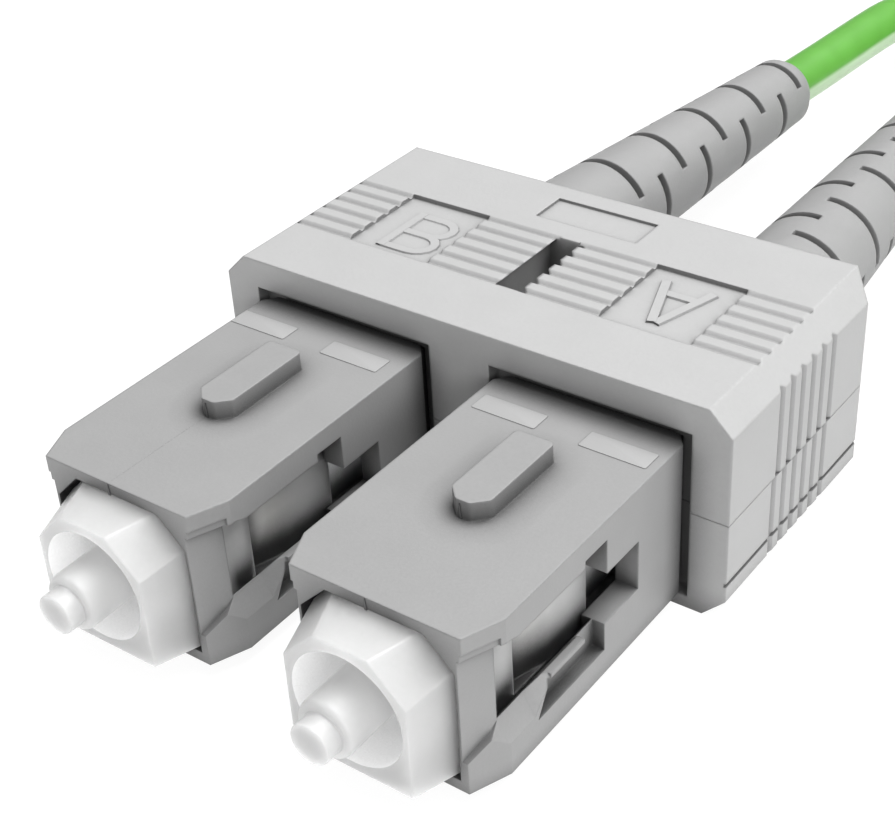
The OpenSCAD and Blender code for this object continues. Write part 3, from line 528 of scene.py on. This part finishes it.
class PatchCordStage(PropertyGroup):
    """Camera and light."""

    azimuth: FloatProperty(
        name="Azimuth", description="Camera direction round Z", subtype="ANGLE", default=math.radians(38.026))
    elevation: FloatProperty(
        name="Elevation", description="Camera direction above level", subtype="ANGLE",
        default=math.radians(34.009))
    roll: FloatProperty(
        name="Roll", description="Turn about the view direction", subtype="ANGLE",
        default=math.radians(-3.576))
    lens: FloatProperty(
        name="Lens", description="Focal length for a 36 mm sensor", unit="CAMERA", default=69.10)
    key: FloatProperty(
        name="Key light", description="Power of the overhead softbox", unit="POWER", default=1.8)
    side: FloatProperty(
        name="Side light", description="Power of the softbox at the right", unit="POWER", default=0.44)
    world: FloatProperty(
        name="Room light", description="Strength of the white room overhead", default=0.95)
    floor: FloatVectorProperty(
        name="Floor", description="Pale floor", subtype="COLOR", default=linear("#f4f4f4"))


# ---------------------------------------------------------------- routes, in millimetres

# the legs' points past their boots, as in the solids
LEGS = {
    "a": [
        (4.6, 33, 4.5), (4.4, 36, 4.4), (4, 39, 4.1), (3.4, 42, 3.6), (2.6, 45, 2.9), (1.7, 48, 2.2),
        (0.8, 51, 1.7), (0.1, 54, 1.45), (-0.4, 56.5, 1.4), (-0.55, 58, 1.4), (-0.55, 59, 1.4),
        (-0.55, 62, 1.4),
    ],
    "b": [
        (-4.6, 33, 4.5), (-4.43, 36, 4.5), (-4.26, 39, 4.5), (-4.1, 42, 4.4), (-3.9, 45, 4), (-3.8, 48, 3.3),
        (-3.65, 51, 2.5), (-3.5, 54, 1.8), (-3.45, 56.5, 1.45), (-3.45, 58, 1.4), (-3.45, 59, 1.4),
        (-3.45, 62, 1.4),
    ],
}
# the twin cord's points between the coil and the splits, each with its twist in degrees
RUN = [
    (-2, 62, 1.4, 90), (-2, 64, 1.4, 90), (-2, 68, 1.5, 90), (-2.4, 71, 2, 75), (-3.4, 74, 2.7, 50),
    (-4.6, 77, 3.2, 25), (-5.5, 80, 3.5, 8), (-6, 83, 3.55, 0), (-6, 84, 3.55, 0),
]
FAR_RUN = [
    (FAR_X + 6, 84, 9.85, 0), (FAR_X + 6, 83, 9.85, 0), (FAR_X + 6, 82, 9.7, 0), (FAR_X + 5.6, 79, 9, 10),
    (FAR_X + 4.7, 76, 7.6, 30), (FAR_X + 3.6, 73, 5.9, 50), (FAR_X + 2.7, 70, 4.2, 70),
    (FAR_X + 2.2, 67.5, 3, 83), (FAR_X + 2, 65, 1.9, 90), (FAR_X + 2, 62, 1.45, 90), (FAR_X + 2, 60, 1.4, 90),
    (FAR_X + 2, 59, 1.4, 90),
]
BOOT_BEND = 28.5  # behind the sleeves' front, where a boot's axis starts to lean
BOOT_LEAN = math.radians(3.3)
LEAVE_Y = 54.9  # where a jacket leaves its boot
INSIDE_BOOT = (4.0, 2.0, 0.0)  # the first points of a leg lie this much before that
FAR_LEGS_END = 60  # the far legs end before this, at their own split
COIL_X, COIL_Y = FAR_X / 2, 90.0
TURN_POINTS = 72  # points a turn of the coil
TRUNK_STEP, LEG_STEP = 0.9, 0.6


def on_boot(end_x, side, y):
    """A point on a boot's leaning axis: past the bend it turns by the lean towards the middle of the pair."""
    past = y - BOOT_BEND
    return (
        end_x + side * (AXIS_X - past * math.sin(BOOT_LEAN)),
        BOOT_BEND + past * math.cos(BOOT_LEAN) + FRONT_Y,
        AXIS_Z,
    )


def coil_line(sizes):
    """The coil's centre line. Turn by turn the radius shrinks by the turn step until half the turns are
    laid, then grows again; in the half turn about the middle the line climbs one layer. It runs clockwise
    seen from above."""
    steps = int(round(sizes.turns * TURN_POINTS))
    half_turn = TURN_POINTS / 2
    i = np.arange(steps + 1)
    inward = np.minimum(i, steps - i) / TURN_POINTS
    r = sizes.coil_radius - sizes.turn_step * inward
    climb = np.clip((i - steps / 2 + half_turn / 2) / half_turn, 0, 1)
    a = np.pi - i * 2 * np.pi / TURN_POINTS
    z = sizes.rest + sizes.layer_step * climb
    return np.stack([COIL_X + r * np.cos(a), COIL_Y + r * np.sin(a), z, 0 * a], axis=1)


def trunk_line(sizes):
    """The twin cord's whole line, with its twist: up from the near split, round the coil, down to the far
    split. It is smooth_line on the first three columns, with the fourth, the twist, carried along by arc
    length."""
    p = np.vstack([RUN, coil_line(sizes)[1:-1], FAR_RUN])
    line = smooth_line(p[:, :3], TRUNK_STEP)
    run, fine = run_along(p), run_along(line)
    twist = np.interp(fine / fine[-1], run / run[-1], p[:, 3])
    return line, np.radians(twist)


def leg_line(end, letter):
    """One jacket's line from inside its boot to the split. A far one is the other near one, mirrored."""
    side = dict(SIDES)[letter]
    if end == "near":
        end_x, route = 0.0, LEGS[letter]
    else:
        other = LEGS["b" if letter == "a" else "a"]
        end_x, route = FAR_X, [(FAR_X - x, y, z) for x, y, z in other if y < FAR_LEGS_END]
    start = [on_boot(end_x, side, LEAVE_Y - back) for back in INSIDE_BOOT]
    return smooth_line(start + route, LEG_STEP)


# ---------------------------------------------------------------- operators


class PATCHCORD_OT_stage(Operator):
    """Sets the camera, the white room, the softboxes and the pale floor"""

    bl_idname = "patchcord.stage"
    bl_label = "Stage"

    # in millimetres, from the sleeves' front, between the two plugs' axes
    camera_place = (37.192, -34.498, 42.296)
    sensor_mm = 36.0
    # in metres
    key_place, key_size = (0.07, 0.08, 0.33), 0.30
    side_place, side_size = (0.30, -0.16, 0.12), 0.16
    floor_half, floor_drop = 1.5, 2e-5
    # the tent is brightest in this direction and has this share of its light across from it
    tent_lean, tent_share = (0.3, -0.2, 0.93), 0.2
    # the camera sees the sheet as this white, mixed in by this share, which leaves the shadow faint
    sheet_white, sheet_share = 1.06, 0.88

    def execute(self, context):
        s = context.scene.patchcord_stage
        az, el, roll = s.azimuth, s.elevation, s.roll
        right = np.array([math.cos(az), math.sin(az), 0.0])
        back = np.array([math.sin(az) * math.cos(el), -math.cos(az) * math.cos(el), math.sin(el)])
        up = np.cross(back, right)
        c, d = math.cos(roll), math.sin(roll)
        x_axis = c * right + d * up
        y_axis = -d * right + c * up
        place = (np.array(self.camera_place) + (0.0, FRONT_Y, AXIS_Z)) * MM
        data = bpy.data.cameras.new("view")
        data.lens = s.lens
        data.sensor_width = self.sensor_mm
        data.sensor_fit = "HORIZONTAL"
        data.clip_start = 0.002
        cam = bpy.data.objects.new("view", data)
        cam.matrix_world = Matrix(
            [[x_axis[k], y_axis[k], back[k], place[k]] for k in range(3)] + [[0, 0, 0, 1]]
        )
        context.scene.collection.objects.link(cam)
        context.scene.camera = cam
        context.scene.view_settings.view_transform = "Standard"
        self.room(context, s)
        self.floor(s)
        self.softbox("key", self.key_place, self.key_size, s.key)
        self.softbox("side", self.side_place, self.side_size, s.side)
        return {"FINISHED"}

    def room(self, context, s):
        """A white tent that leans a little to the right and the front. Its strength is the room light times
        0.2 + 0.8 d, where d is a direction's share along the lean, no less than 0. The camera and glass see
        full white."""
        world = bpy.data.worlds.new("white room")
        world.use_nodes = True
        tree = world.node_tree
        tree.nodes.clear()
        seen = self.seen_by(tree, "Is Transmission Ray")
        way = add(tree, "ShaderNodeTexCoord").outputs["Generated"]
        along = add(tree, "ShaderNodeVectorMath", settings={"operation": "DOT_PRODUCT"},
                    values={1: self.tent_lean}, links={0: way})
        tent = add(tree, "ShaderNodeMapRange", links={"Value": along.outputs["Value"]},
                   values={"To Min": s.world * self.tent_share, "To Max": s.world})
        level = add(tree, "ShaderNodeMix", settings={"data_type": "FLOAT"}, values={3: 1.0},
                    links={0: seen, 2: tent.outputs["Result"]})
        light = add(tree, "ShaderNodeBackground", values={"Color": (1, 1, 1, 1)},
                    links={"Strength": level.outputs[0]})
        add(tree, "ShaderNodeOutputWorld", links={"Surface": light.outputs["Background"]})
        context.scene.world = world

    def seen_by(self, tree, ray):
        """1 for the camera's rays and for the named ones, else 0."""
        path = add(tree, "ShaderNodeLightPath")
        return add(tree, "ShaderNodeMath", settings={"operation": "MAXIMUM"},
                   links={0: path.outputs["Is Camera Ray"], 1: path.outputs[ray]}).outputs[0]

    def floor(self, s):
        """A pale matt sheet. To the camera it is mostly plain white, with the object's shadow kept faint."""
        mat, tree, out = new_material("white paper sheet")
        matt = add(tree, "ShaderNodeBsdfDiffuse", values={"Color": (*s.floor, 1.0), "Roughness": 1.0})
        glow = add(tree, "ShaderNodeEmission", values={"Color": (1, 1, 1, 1), "Strength": self.sheet_white})
        share = add(tree, "ShaderNodeMath", settings={"operation": "MULTIPLY"}, values={1: self.sheet_share},
                    links={0: self.seen_by(tree, "Is Glossy Ray")})
        both = add(tree, "ShaderNodeMixShader",
                   links={"Fac": share.outputs[0], 1: matt.outputs[0], 2: glow.outputs[0]})
        tree.links.new(both.outputs[0], out.inputs["Surface"])
        r, z = self.floor_half, -self.floor_drop
        mesh = bpy.data.meshes.new("floor")
        mesh.from_pydata([(-r, -r, z), (r, -r, z), (r, r, z), (-r, r, z)], [], [(0, 1, 2, 3)])
        mesh.materials.append(mat)
        floor = bpy.data.objects.new("floor", mesh)
        bpy.context.scene.collection.objects.link(floor)

    def softbox(self, name, place, size, power):
        """A square area lamp at a place, aimed at the middle of the plugs' front."""
        data = bpy.data.lights.new(name, "AREA")
        data.shape = "SQUARE"
        data.size = size
        data.energy = power
        lamp = bpy.data.objects.new(name, data)
        lamp.location = place
        lamp.rotation_euler = Vector(place).to_track_quat("Z", "Y").to_euler()
        lamp.visible_camera = False
        bpy.context.scene.collection.objects.link(lamp)


class PATCHCORD_OT_legs(Operator):
    """Makes the four single jackets between the boots and the splits"""

    bl_idname = "patchcord.legs"
    bl_label = "Jacket legs"

    def execute(self, context):
        sizes = context.scene.patchcord_sizes
        skin = single_jacket(context.scene.patchcord_colours)
        for end, prefix, letter, _ in PLUGS:
            path = leg_line(end, letter)
            points, faces, uv = tube_surface(path, round_profile(sizes.jacket / 2), np.zeros(len(path)))
            leg = mesh_piece(f"{end}_jacket_leg_{letter}", points, faces, skin, "cord", uv=uv)
            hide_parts(f"{prefix}leg_{letter}")
        return {"FINISHED"}


class PATCHCORD_OT_trunk(Operator):
    """Winds the twin cord: up from the near split, round the coil in two layers, and down to the far split"""

    bl_idname = "patchcord.trunk"
    bl_label = "Twin cord"

    def execute(self, context):
        sizes, colours = context.scene.patchcord_sizes, context.scene.patchcord_colours
        # in the coil the turns keep the sheet's light from each other, so the twin cord gets little painted
        # reflection
        skin = material("extruded PVC twin jacket, lime", extruded_jacket, tuple(colours.jacket),
                        sheet_light=0.05)
        line, twist = trunk_line(sizes)
        points, faces, uv = tube_surface(line, twin_profile(sizes.width, sizes.jacket), twist)
        trunk = mesh_piece("twin_cord", points, faces, skin, "cord", uv=uv)
        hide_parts("cord_run", "cord_coil", "far_cord_run")
        return {"FINISHED"}


class PATCHCORD_OT_clips(Operator):
    """Finishes both shells of each duplex clip and raises its channel letters"""

    bl_idname = "patchcord.clips"
    bl_label = "Duplex clips"

    # the letters lie in a bed this much below the clip's top
    letter_bed = 0.21
    # each stroke of a letter pair is this much lower than the last, so that no two tops lie in one plane
    stroke_drop = 0.008

    def execute(self, context):
        colours, trim = context.scene.patchcord_colours, context.scene.patchcord_trim
        # ABS moulded in a spark-eroded tool: an even light grey with a soft satin light on its broken edges
        # and painted shade in its hollows, down to 0.3 of its colour
        abs_grey = material("moulded ABS, light grey", moulded, tuple(colours.clip), roughness=0.5,
                            grain_mm=0.16, grain_depth_mm=0.012, edge_mm=0.18, shade=0.015, nook_shade=0.3)
        abs_fine = material("moulded ABS, light grey, fine", moulded, tuple(colours.clip), roughness=0.5,
                            grain_mm=0.16, grain_depth_mm=0.006, edge_mm=0.0, shade=0.015)
        low = CLIP_TOP - self.letter_bed
        high = low + trim.letter_height
        for end, prefix, x in ENDS:
            for shell in ("clip_top", "clip_bottom"):
                smooth_copy(prefix + shell, f"{end}_{shell}_shell", abs_grey, "cord", crease=20)
            lines = [line + (x, FRONT_Y) for line in self.letter_a() + self.letter_b()]
            half = trim.stroke_width / 2
            parts = [stroke(line, half, low, high - self.stroke_drop * k) for k, line in enumerate(lines)]
            points, faces = joined(parts)
            outward(mesh_piece(f"{end}_channel_letters", points, faces, abs_fine, "cord"))
        return {"FINISHED"}

    def letter_a(self):
        """Two legs from a flat apex and a bar across them, measured from the pair's middle and front."""
        return [
            np.array([(5.42, 21.98), (5.99, 20.35), (6.56, 18.72)]),
            np.array([(7.72, 21.98), (7.23, 20.35), (6.74, 18.72)]),
            np.array([(5.8, 21.1), (6.6, 21.1), (7.4, 21.1)]),
        ]

    def letter_b(self):
        """A spine and two bows; each bow is a level line, a half circle squeezed across, and a line back."""
        spine_x, bow_x = -7.37, -6.0
        a = np.linspace(-np.pi / 2, np.pi / 2, 9)

        def bow(front, rear, out):
            middle, r = (front + rear) / 2, (rear - front) / 2
            arc = np.stack([bow_x + out * np.cos(a), middle + r * np.sin(a)], axis=1)
            return np.vstack([[(spine_x, front)], arc, [(spine_x, rear)]])

        spine = np.array([(spine_x, 18.3), (spine_x, 20.0), (spine_x, 21.76)])
        return [spine, bow(18.5, 20.02, 0.9), bow(20.02, 21.56, 0.85)]


class PATCHCORD_OT_sleeves(Operator):
    """Finishes the coupling sleeves and adds their index marks and gate stubs"""

    bl_idname = "patchcord.sleeves"
    bl_label = "Coupling sleeves"

    # index marks, from the sleeve's axis and front; channel B's lie a little to the left
    mark_x, mark_y, mark_corner = 2.555, 12.27, 0.08
    mark_shift = {"a": 0.0, "b": 0.4}
    ink_proud, ink_edge = 0.03, 0.02
    # what lies on the top reaches this much into it
    sunk = 0.02
    # gate stubs, from the sleeve's axis, front and top: one on the front wall and one on the key's
    wall_stub_x, wall_stub_foot = -0.3, 0.55
    key_stub_x, key_stub_high, key_front = -0.12, 0.7, 5.5
    # channel B's mould seam, in plan, and its height above the top
    seam = ((-0.3, 0.2), (-0.25, 3), (-0.2, 5.45))
    seam_height = 0.005

    def execute(self, context):
        colours, trim = context.scene.patchcord_colours, context.scene.patchcord_trim
        # PBT with a faint grain: darker than the clip, with a dull light that spreads along its edges
        # with painted shade in its hollows and pockets, down to 0.15 of its colour
        pbt = material("moulded PBT, mid grey", moulded, tuple(colours.sleeve), roughness=0.48, grain_mm=0.13,
                       grain_depth_mm=0.01, edge_mm=0.12, shade=0.02)
        # pad-printed ink: flat and dull, hardly paler than the sleeve
        ink = material("pad-printed mark, pale grey", moulded, tuple(colours.mark), roughness=0.6,
                       grain_mm=0.1, grain_depth_mm=0.006, edge_mm=0.03, shade=0.01)
        bar = rounded_outline(trim.mark_length / 2, trim.mark_width / 2, self.mark_corner)
        top = SLEEVE_TOP
        for end, prefix, letter, cx in PLUGS:
            name = f"{end}_coupling_sleeve_{letter}"
            smooth_copy(f"{prefix}sleeve_{letter}", name, pbt, "cord", crease=20)
            marks = []
            for way in (-1, 1):
                place = (cx + way * self.mark_x - self.mark_shift[letter], FRONT_Y + self.mark_y)
                marks.append(plate(bar + place, top - self.sunk, top + self.ink_proud, self.ink_edge))
            points, faces = joined(marks)
            mesh_piece(f"{end}_index_marks_{letter}", points, faces, ink, "cord")
            nicks = [
                self.stub(cx + self.wall_stub_x, FRONT_Y, top - self.wall_stub_foot, top - self.sunk),
                self.stub(cx + self.key_stub_x, FRONT_Y + self.key_front, top, top + self.key_stub_high),
            ]
            if letter == "b":
                seam = np.array(self.seam) + (cx, FRONT_Y)
                nicks.append(stroke(seam, 0.0, top - self.sunk, top + self.seam_height))
            points, faces = joined(nicks)
            outward(mesh_piece(f"{end}_gate_nicks_{letter}", points, faces, pbt, "cord"))
        return {"FINISHED"}

    def stub(self, x, y, low, high):
        """A cut-off gate's stub: a bar 0.12 mm wide, from 0.03 mm in front of a wall at y to 0.15 mm in it."""
        line = [(x, y + step) for step in (-0.03, 0.05, 0.15)]
        return stroke(line, 0.0, low, high)


class PATCHCORD_OT_plugs(Operator):
    """Finishes the plug frames, ferrules and the metal parts inside them"""

    bl_idname = "patchcord.plugs"
    bl_label = "Plug frames and ferrules"

    # what lies nearer to a plug's axis than this is its bore
    bore_radius = 3.05
    # how far a ferrule travels; nothing here reads it
    ferrule_travel = 1.2
    # a ferrule's tip: its share of the full radius, its length and ground edge, and the shoulder's round edge
    tip_share, tip_length, tip_edge, shoulder_edge = 0.7, 0.75, 0.06, 0.25

    def execute(self, context):
        colours = context.scene.patchcord_colours
        # natural PBT: lets light in a little, so its edges glow and its shadows stay pale, and a painted glow
        # keeps its bore pale too; its hollows in the sleeves' windows get a painted shade
        natural = material("moulded PBT, natural white", moulded, tuple(colours.plug), roughness=0.4,
                           grain_mm=0.2, grain_depth_mm=0.004, edge_mm=0.16, shade=0.01, subsurface=1.0,
                           depth_mm=4.0, through=2.6, nook_shade=0.1)
        # ground zirconia: a fine satin from the grinding, with a creamy depth
        # and a faint painted glow in its hollows
        zirconia = material("ground zirconia", moulded, tuple(colours.ferrule), roughness=0.45, grain_mm=0.05,
                            grain_depth_mm=0.001, edge_mm=0.08, shade=0.01, ior=1.6, subsurface=1.0,
                            depth_mm=2.5, through=0.5, nook_shade=1.0)
        # plated, drawn and turned metals: bright rings of light about the plug's axis, warm on the brass
        nickel = material("nickel-plated brass", metal, linear("#c4c2bc"), roughness=0.28, scratch_mm=0.12)
        steel = material("drawn spring steel", metal, linear("#a9abad"), roughness=0.3, scratch_mm=0.08)
        alloy = material("turned aluminium", metal, linear("#c9cbcd"), roughness=0.35, scratch_mm=0.15)
        brass = material("annealed crimp brass", metal, linear("#cdbb84"), roughness=0.4, scratch_mm=0.2)
        # tight-buffered fibre: a smooth cream coat with a soft light along it
        buffer = material("fibre buffer, cream", moulded, linear("#e6dfc8"), roughness=0.45, grain_mm=0.1,
                          grain_depth_mm=0.004, edge_mm=0.02)
        inside = (("ferrule_flange", nickel), ("stop_body", alloy), ("crimp_ring", brass), ("fibre", buffer),
                  ("jacket", single_jacket(colours)))
        for end, prefix, letter, cx in PLUGS:
            housing = smooth_copy(f"{prefix}plug_frame_{letter}", f"{end}_plug_housing_{letter}", natural,
                                  f"{prefix}plug_{letter}")
            self.paint_bore(housing, cx)
            points, faces = self.lathe(f"{prefix}ferrule_{letter}", cx)
            ferrule = mesh_piece(f"{end}_ceramic_ferrule_{letter}", points, faces, zirconia,
                                 f"{prefix}tip_{letter}")
            self.paint_bore(ferrule, cx)
            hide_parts(f"{prefix}ferrule_{letter}")
            for piece, finish in inside:
                dress(f"{prefix}{piece}_{letter}", finish)
            self.spring(prefix, letter, end, cx, steel)
        return {"FINISHED"}

    def spring(self, prefix, letter, end, cx, steel):
        """The coil spring: a smooth copy set on the plug's body, with a mesh of its own."""
        coil = smooth_copy(f"{prefix}ferrule_spring_{letter}", f"{end}_coil_spring_{letter}", steel,
                           f"{prefix}plug_{letter}", crease=50)
        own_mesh(coil)

    def paint_bore(self, obj, cx):
        """Writes the attribute "bore": 1 at the points nearer to the plug's axis than the bore's radius."""
        # the finish paints a glow where this is 1 and keeps its painted shade out
        count = len(obj.data.vertices)
        flat = np.zeros(count * 3, dtype=np.float32)
        obj.data.vertices.foreach_get("co", flat)
        p = flat.reshape(-1, 3) / MM
        inside = np.hypot(p[:, 0] - cx, p[:, 2] - AXIS_Z) < self.bore_radius
        obj.data.attributes.new("bore", "FLOAT", "POINT").data.foreach_set("value", inside.astype(np.float32))

    def lathe(self, node, cx, count=48):
        """The ferrule turned about its axis. Its profile runs from the tip's flat end over a ground edge to
        the shoulder, over a quarter-round edge to the full radius, and back to a closed rear end."""
        low, high = box_mm(node)
        r, y = float(high[0] - low[0]) / 2, float(low[1])
        tip, shoulder = self.tip_share * r, y + self.tip_length
        ground, edge, hair = self.tip_edge, self.shoulder_edge, 0.001
        a = np.linspace(0, np.pi / 2, 5)
        profile = np.vstack([
            [(hair, y)],
            np.stack([tip - ground + ground * np.sin(a), y + ground - ground * np.cos(a)], axis=1),
            [(tip, shoulder - hair)], [(tip + hair, shoulder)],
            np.stack([r - edge + edge * np.sin(a), shoulder + edge - edge * np.cos(a)], axis=1),
            [(r, high[1] - hair)], [(hair, high[1])],
        ])
        turn = np.arange(count) * 2 * np.pi / count
        x = cx + profile[:, :1] * np.cos(turn)
        z = AXIS_Z + profile[:, :1] * np.sin(turn)
        points = np.stack([x, np.broadcast_to(profile[:, 1:], x.shape), z], axis=-1).reshape(-1, 3)
        return points, capped_grid(len(profile), count)


class PATCHCORD_OT_boots(Operator):
    """Finishes the slotted strain-relief boots"""

    bl_idname = "patchcord.boots"
    bl_label = "Strain-relief boots"

    def execute(self, context):
        colours = context.scene.patchcord_colours
        # thermoplastic elastomer: dull, slightly waxy, with no clear highlight
        # and a light painted shade in its slots and hollows
        tpe = material("moulded TPE, light grey", moulded, tuple(colours.boot), roughness=0.6, grain_mm=0.12,
                       grain_depth_mm=0.01, edge_mm=0.2, shade=0.02, subsurface=0.08, nook_shade=0.75)
        for end, prefix, letter, _ in PLUGS:
            smooth_copy(f"{prefix}boot_{letter}", f"{end}_strain_boot_{letter}", tpe,
                        f"{prefix}plug_{letter}", crease=28)
        return {"FINISHED"}


class PATCHCORD_OT_ties(Operator):
    """Finishes the split bands and the straps that hold the coil"""

    bl_idname = "patchcord.ties"
    bl_label = "Bands and straps"

    def execute(self, context):
        # black elastomer: a dull skin with a grey bloom along its edges
        # with painted shade in its hollows, down to 0.15 of its colour
        band = material("moulded TPE, black", moulded, linear("#262627"), roughness=0.55, grain_mm=0.12,
                        grain_depth_mm=0.01, edge_mm=0.3)
        # looped nylon: a soft dark pile that scatters light at its rim
        strap = material("looped nylon strap, black", woven_strap, linear("#2b2b2d"))
        for end, prefix, _ in ENDS:
            smooth_copy(f"{prefix}split_band", f"{end}_split_sleeve", band, "cord")
        for place in ("rear", "front"):
            smooth_copy(f"coil_tie_{place}", f"coil_strap_{place}", strap, "cord")
        return {"FINISHED"}


class PATCHCORD_OT_cords(Operator):
    """Gathers each free cord's line, diameter, lay, far end and what is on it, and hands them to declare, which
    does nothing with them
    """

    bl_idname = "patchcord.cords"
    bl_label = "Declare the cords"

    # what hangs on a far leg, and what its pair shares
    on_leg = ("coupling_sleeve", "index_marks", "gate_nicks", "plug_housing", "ceramic_ferrule",
              "coil_spring", "strain_boot")
    shared = ("far_clip_top_shell", "far_clip_bottom_shell", "far_channel_letters")

    def execute(self, context):
        sizes = context.scene.patchcord_sizes
        for end, prefix, letter, _ in PLUGS:
            path, far_end, on_it = leg_line(end, letter), "bare", []
            if end == "far":
                path, far_end = path[::-1], "connector"
                on_it = [f"far_{piece}_{letter}" for piece in self.on_leg]
                on_it += self.shared if letter == "a" else ()
            elif letter == "a":
                far_end, on_it = "fitting", ["near_split_sleeve"]
            self.declare(f"{end}_jacket_leg_{letter}", path, sizes.jacket, "loose", far_end, on_it)
        line, _ = trunk_line(sizes)
        self.declare("twin_cord", line, sizes.width, "coiled", "fitting",
                     ["far_split_sleeve", "coil_strap_rear", "coil_strap_front"])
        return {"FINISHED"}

    def declare(self, name, path, diameter, lay, far_end, on_it):
        """Takes one cord's line in millimetres, its diameter, lay, far end and what is on it, and does nothing
        with them.
        """


class PATCHCORD_PT_panel(Panel):
    """Lists the pieces of the patch cord and its settings"""

    bl_label = "Patch cord"
    bl_idname = "PATCHCORD_PT_panel"
    bl_space_type = "VIEW_3D"
    bl_region_type = "UI"
    bl_category = "Patch cord"

    def draw(self, context):
        for piece in PIECES:
            self.layout.operator(piece.bl_idname)
        for key, _ in GROUPS:
            group = getattr(context.scene, key)
            column = self.layout.column()
            for setting in group.__annotations__:
                column.prop(group, setting)


GROUPS = (
    ("patchcord_sizes", PatchCordSizes),
    ("patchcord_colours", PatchCordColours),
    ("patchcord_trim", PatchCordTrim),
    ("patchcord_stage", PatchCordStage),
)
PIECES = (
    PATCHCORD_OT_stage,
    PATCHCORD_OT_legs,
    PATCHCORD_OT_trunk,
    PATCHCORD_OT_clips,
    PATCHCORD_OT_sleeves,
    PATCHCORD_OT_plugs,
    PATCHCORD_OT_boots,
    PATCHCORD_OT_ties,
    PATCHCORD_OT_cords,
)


def register():
    """Registers the settings, the operators and the panel."""
    for key, group in GROUPS:
        bpy.utils.register_class(group)
        setattr(bpy.types.Scene, key, PointerProperty(type=group))
    for piece in PIECES + (PATCHCORD_PT_panel,):
        bpy.utils.register_class(piece)


def unregister():
    """Takes them out again, in the other order."""
    for piece in reversed(PIECES + (PATCHCORD_PT_panel,)):
        bpy.utils.unregister_class(piece)
    for key, group in reversed(GROUPS):
        delattr(bpy.types.Scene, key)
        bpy.utils.unregister_class(group)


def main():
    """Makes every piece in order."""
    register()
    bpy.ops.patchcord.stage()
    bpy.ops.patchcord.legs()
    bpy.ops.patchcord.trunk()
    bpy.ops.patchcord.clips()
    bpy.ops.patchcord.sleeves()
    bpy.ops.patchcord.plugs()
    bpy.ops.patchcord.boots()
    bpy.ops.patchcord.ties()
    bpy.ops.patchcord.cords()


if __name__ == "__main__":
    main()
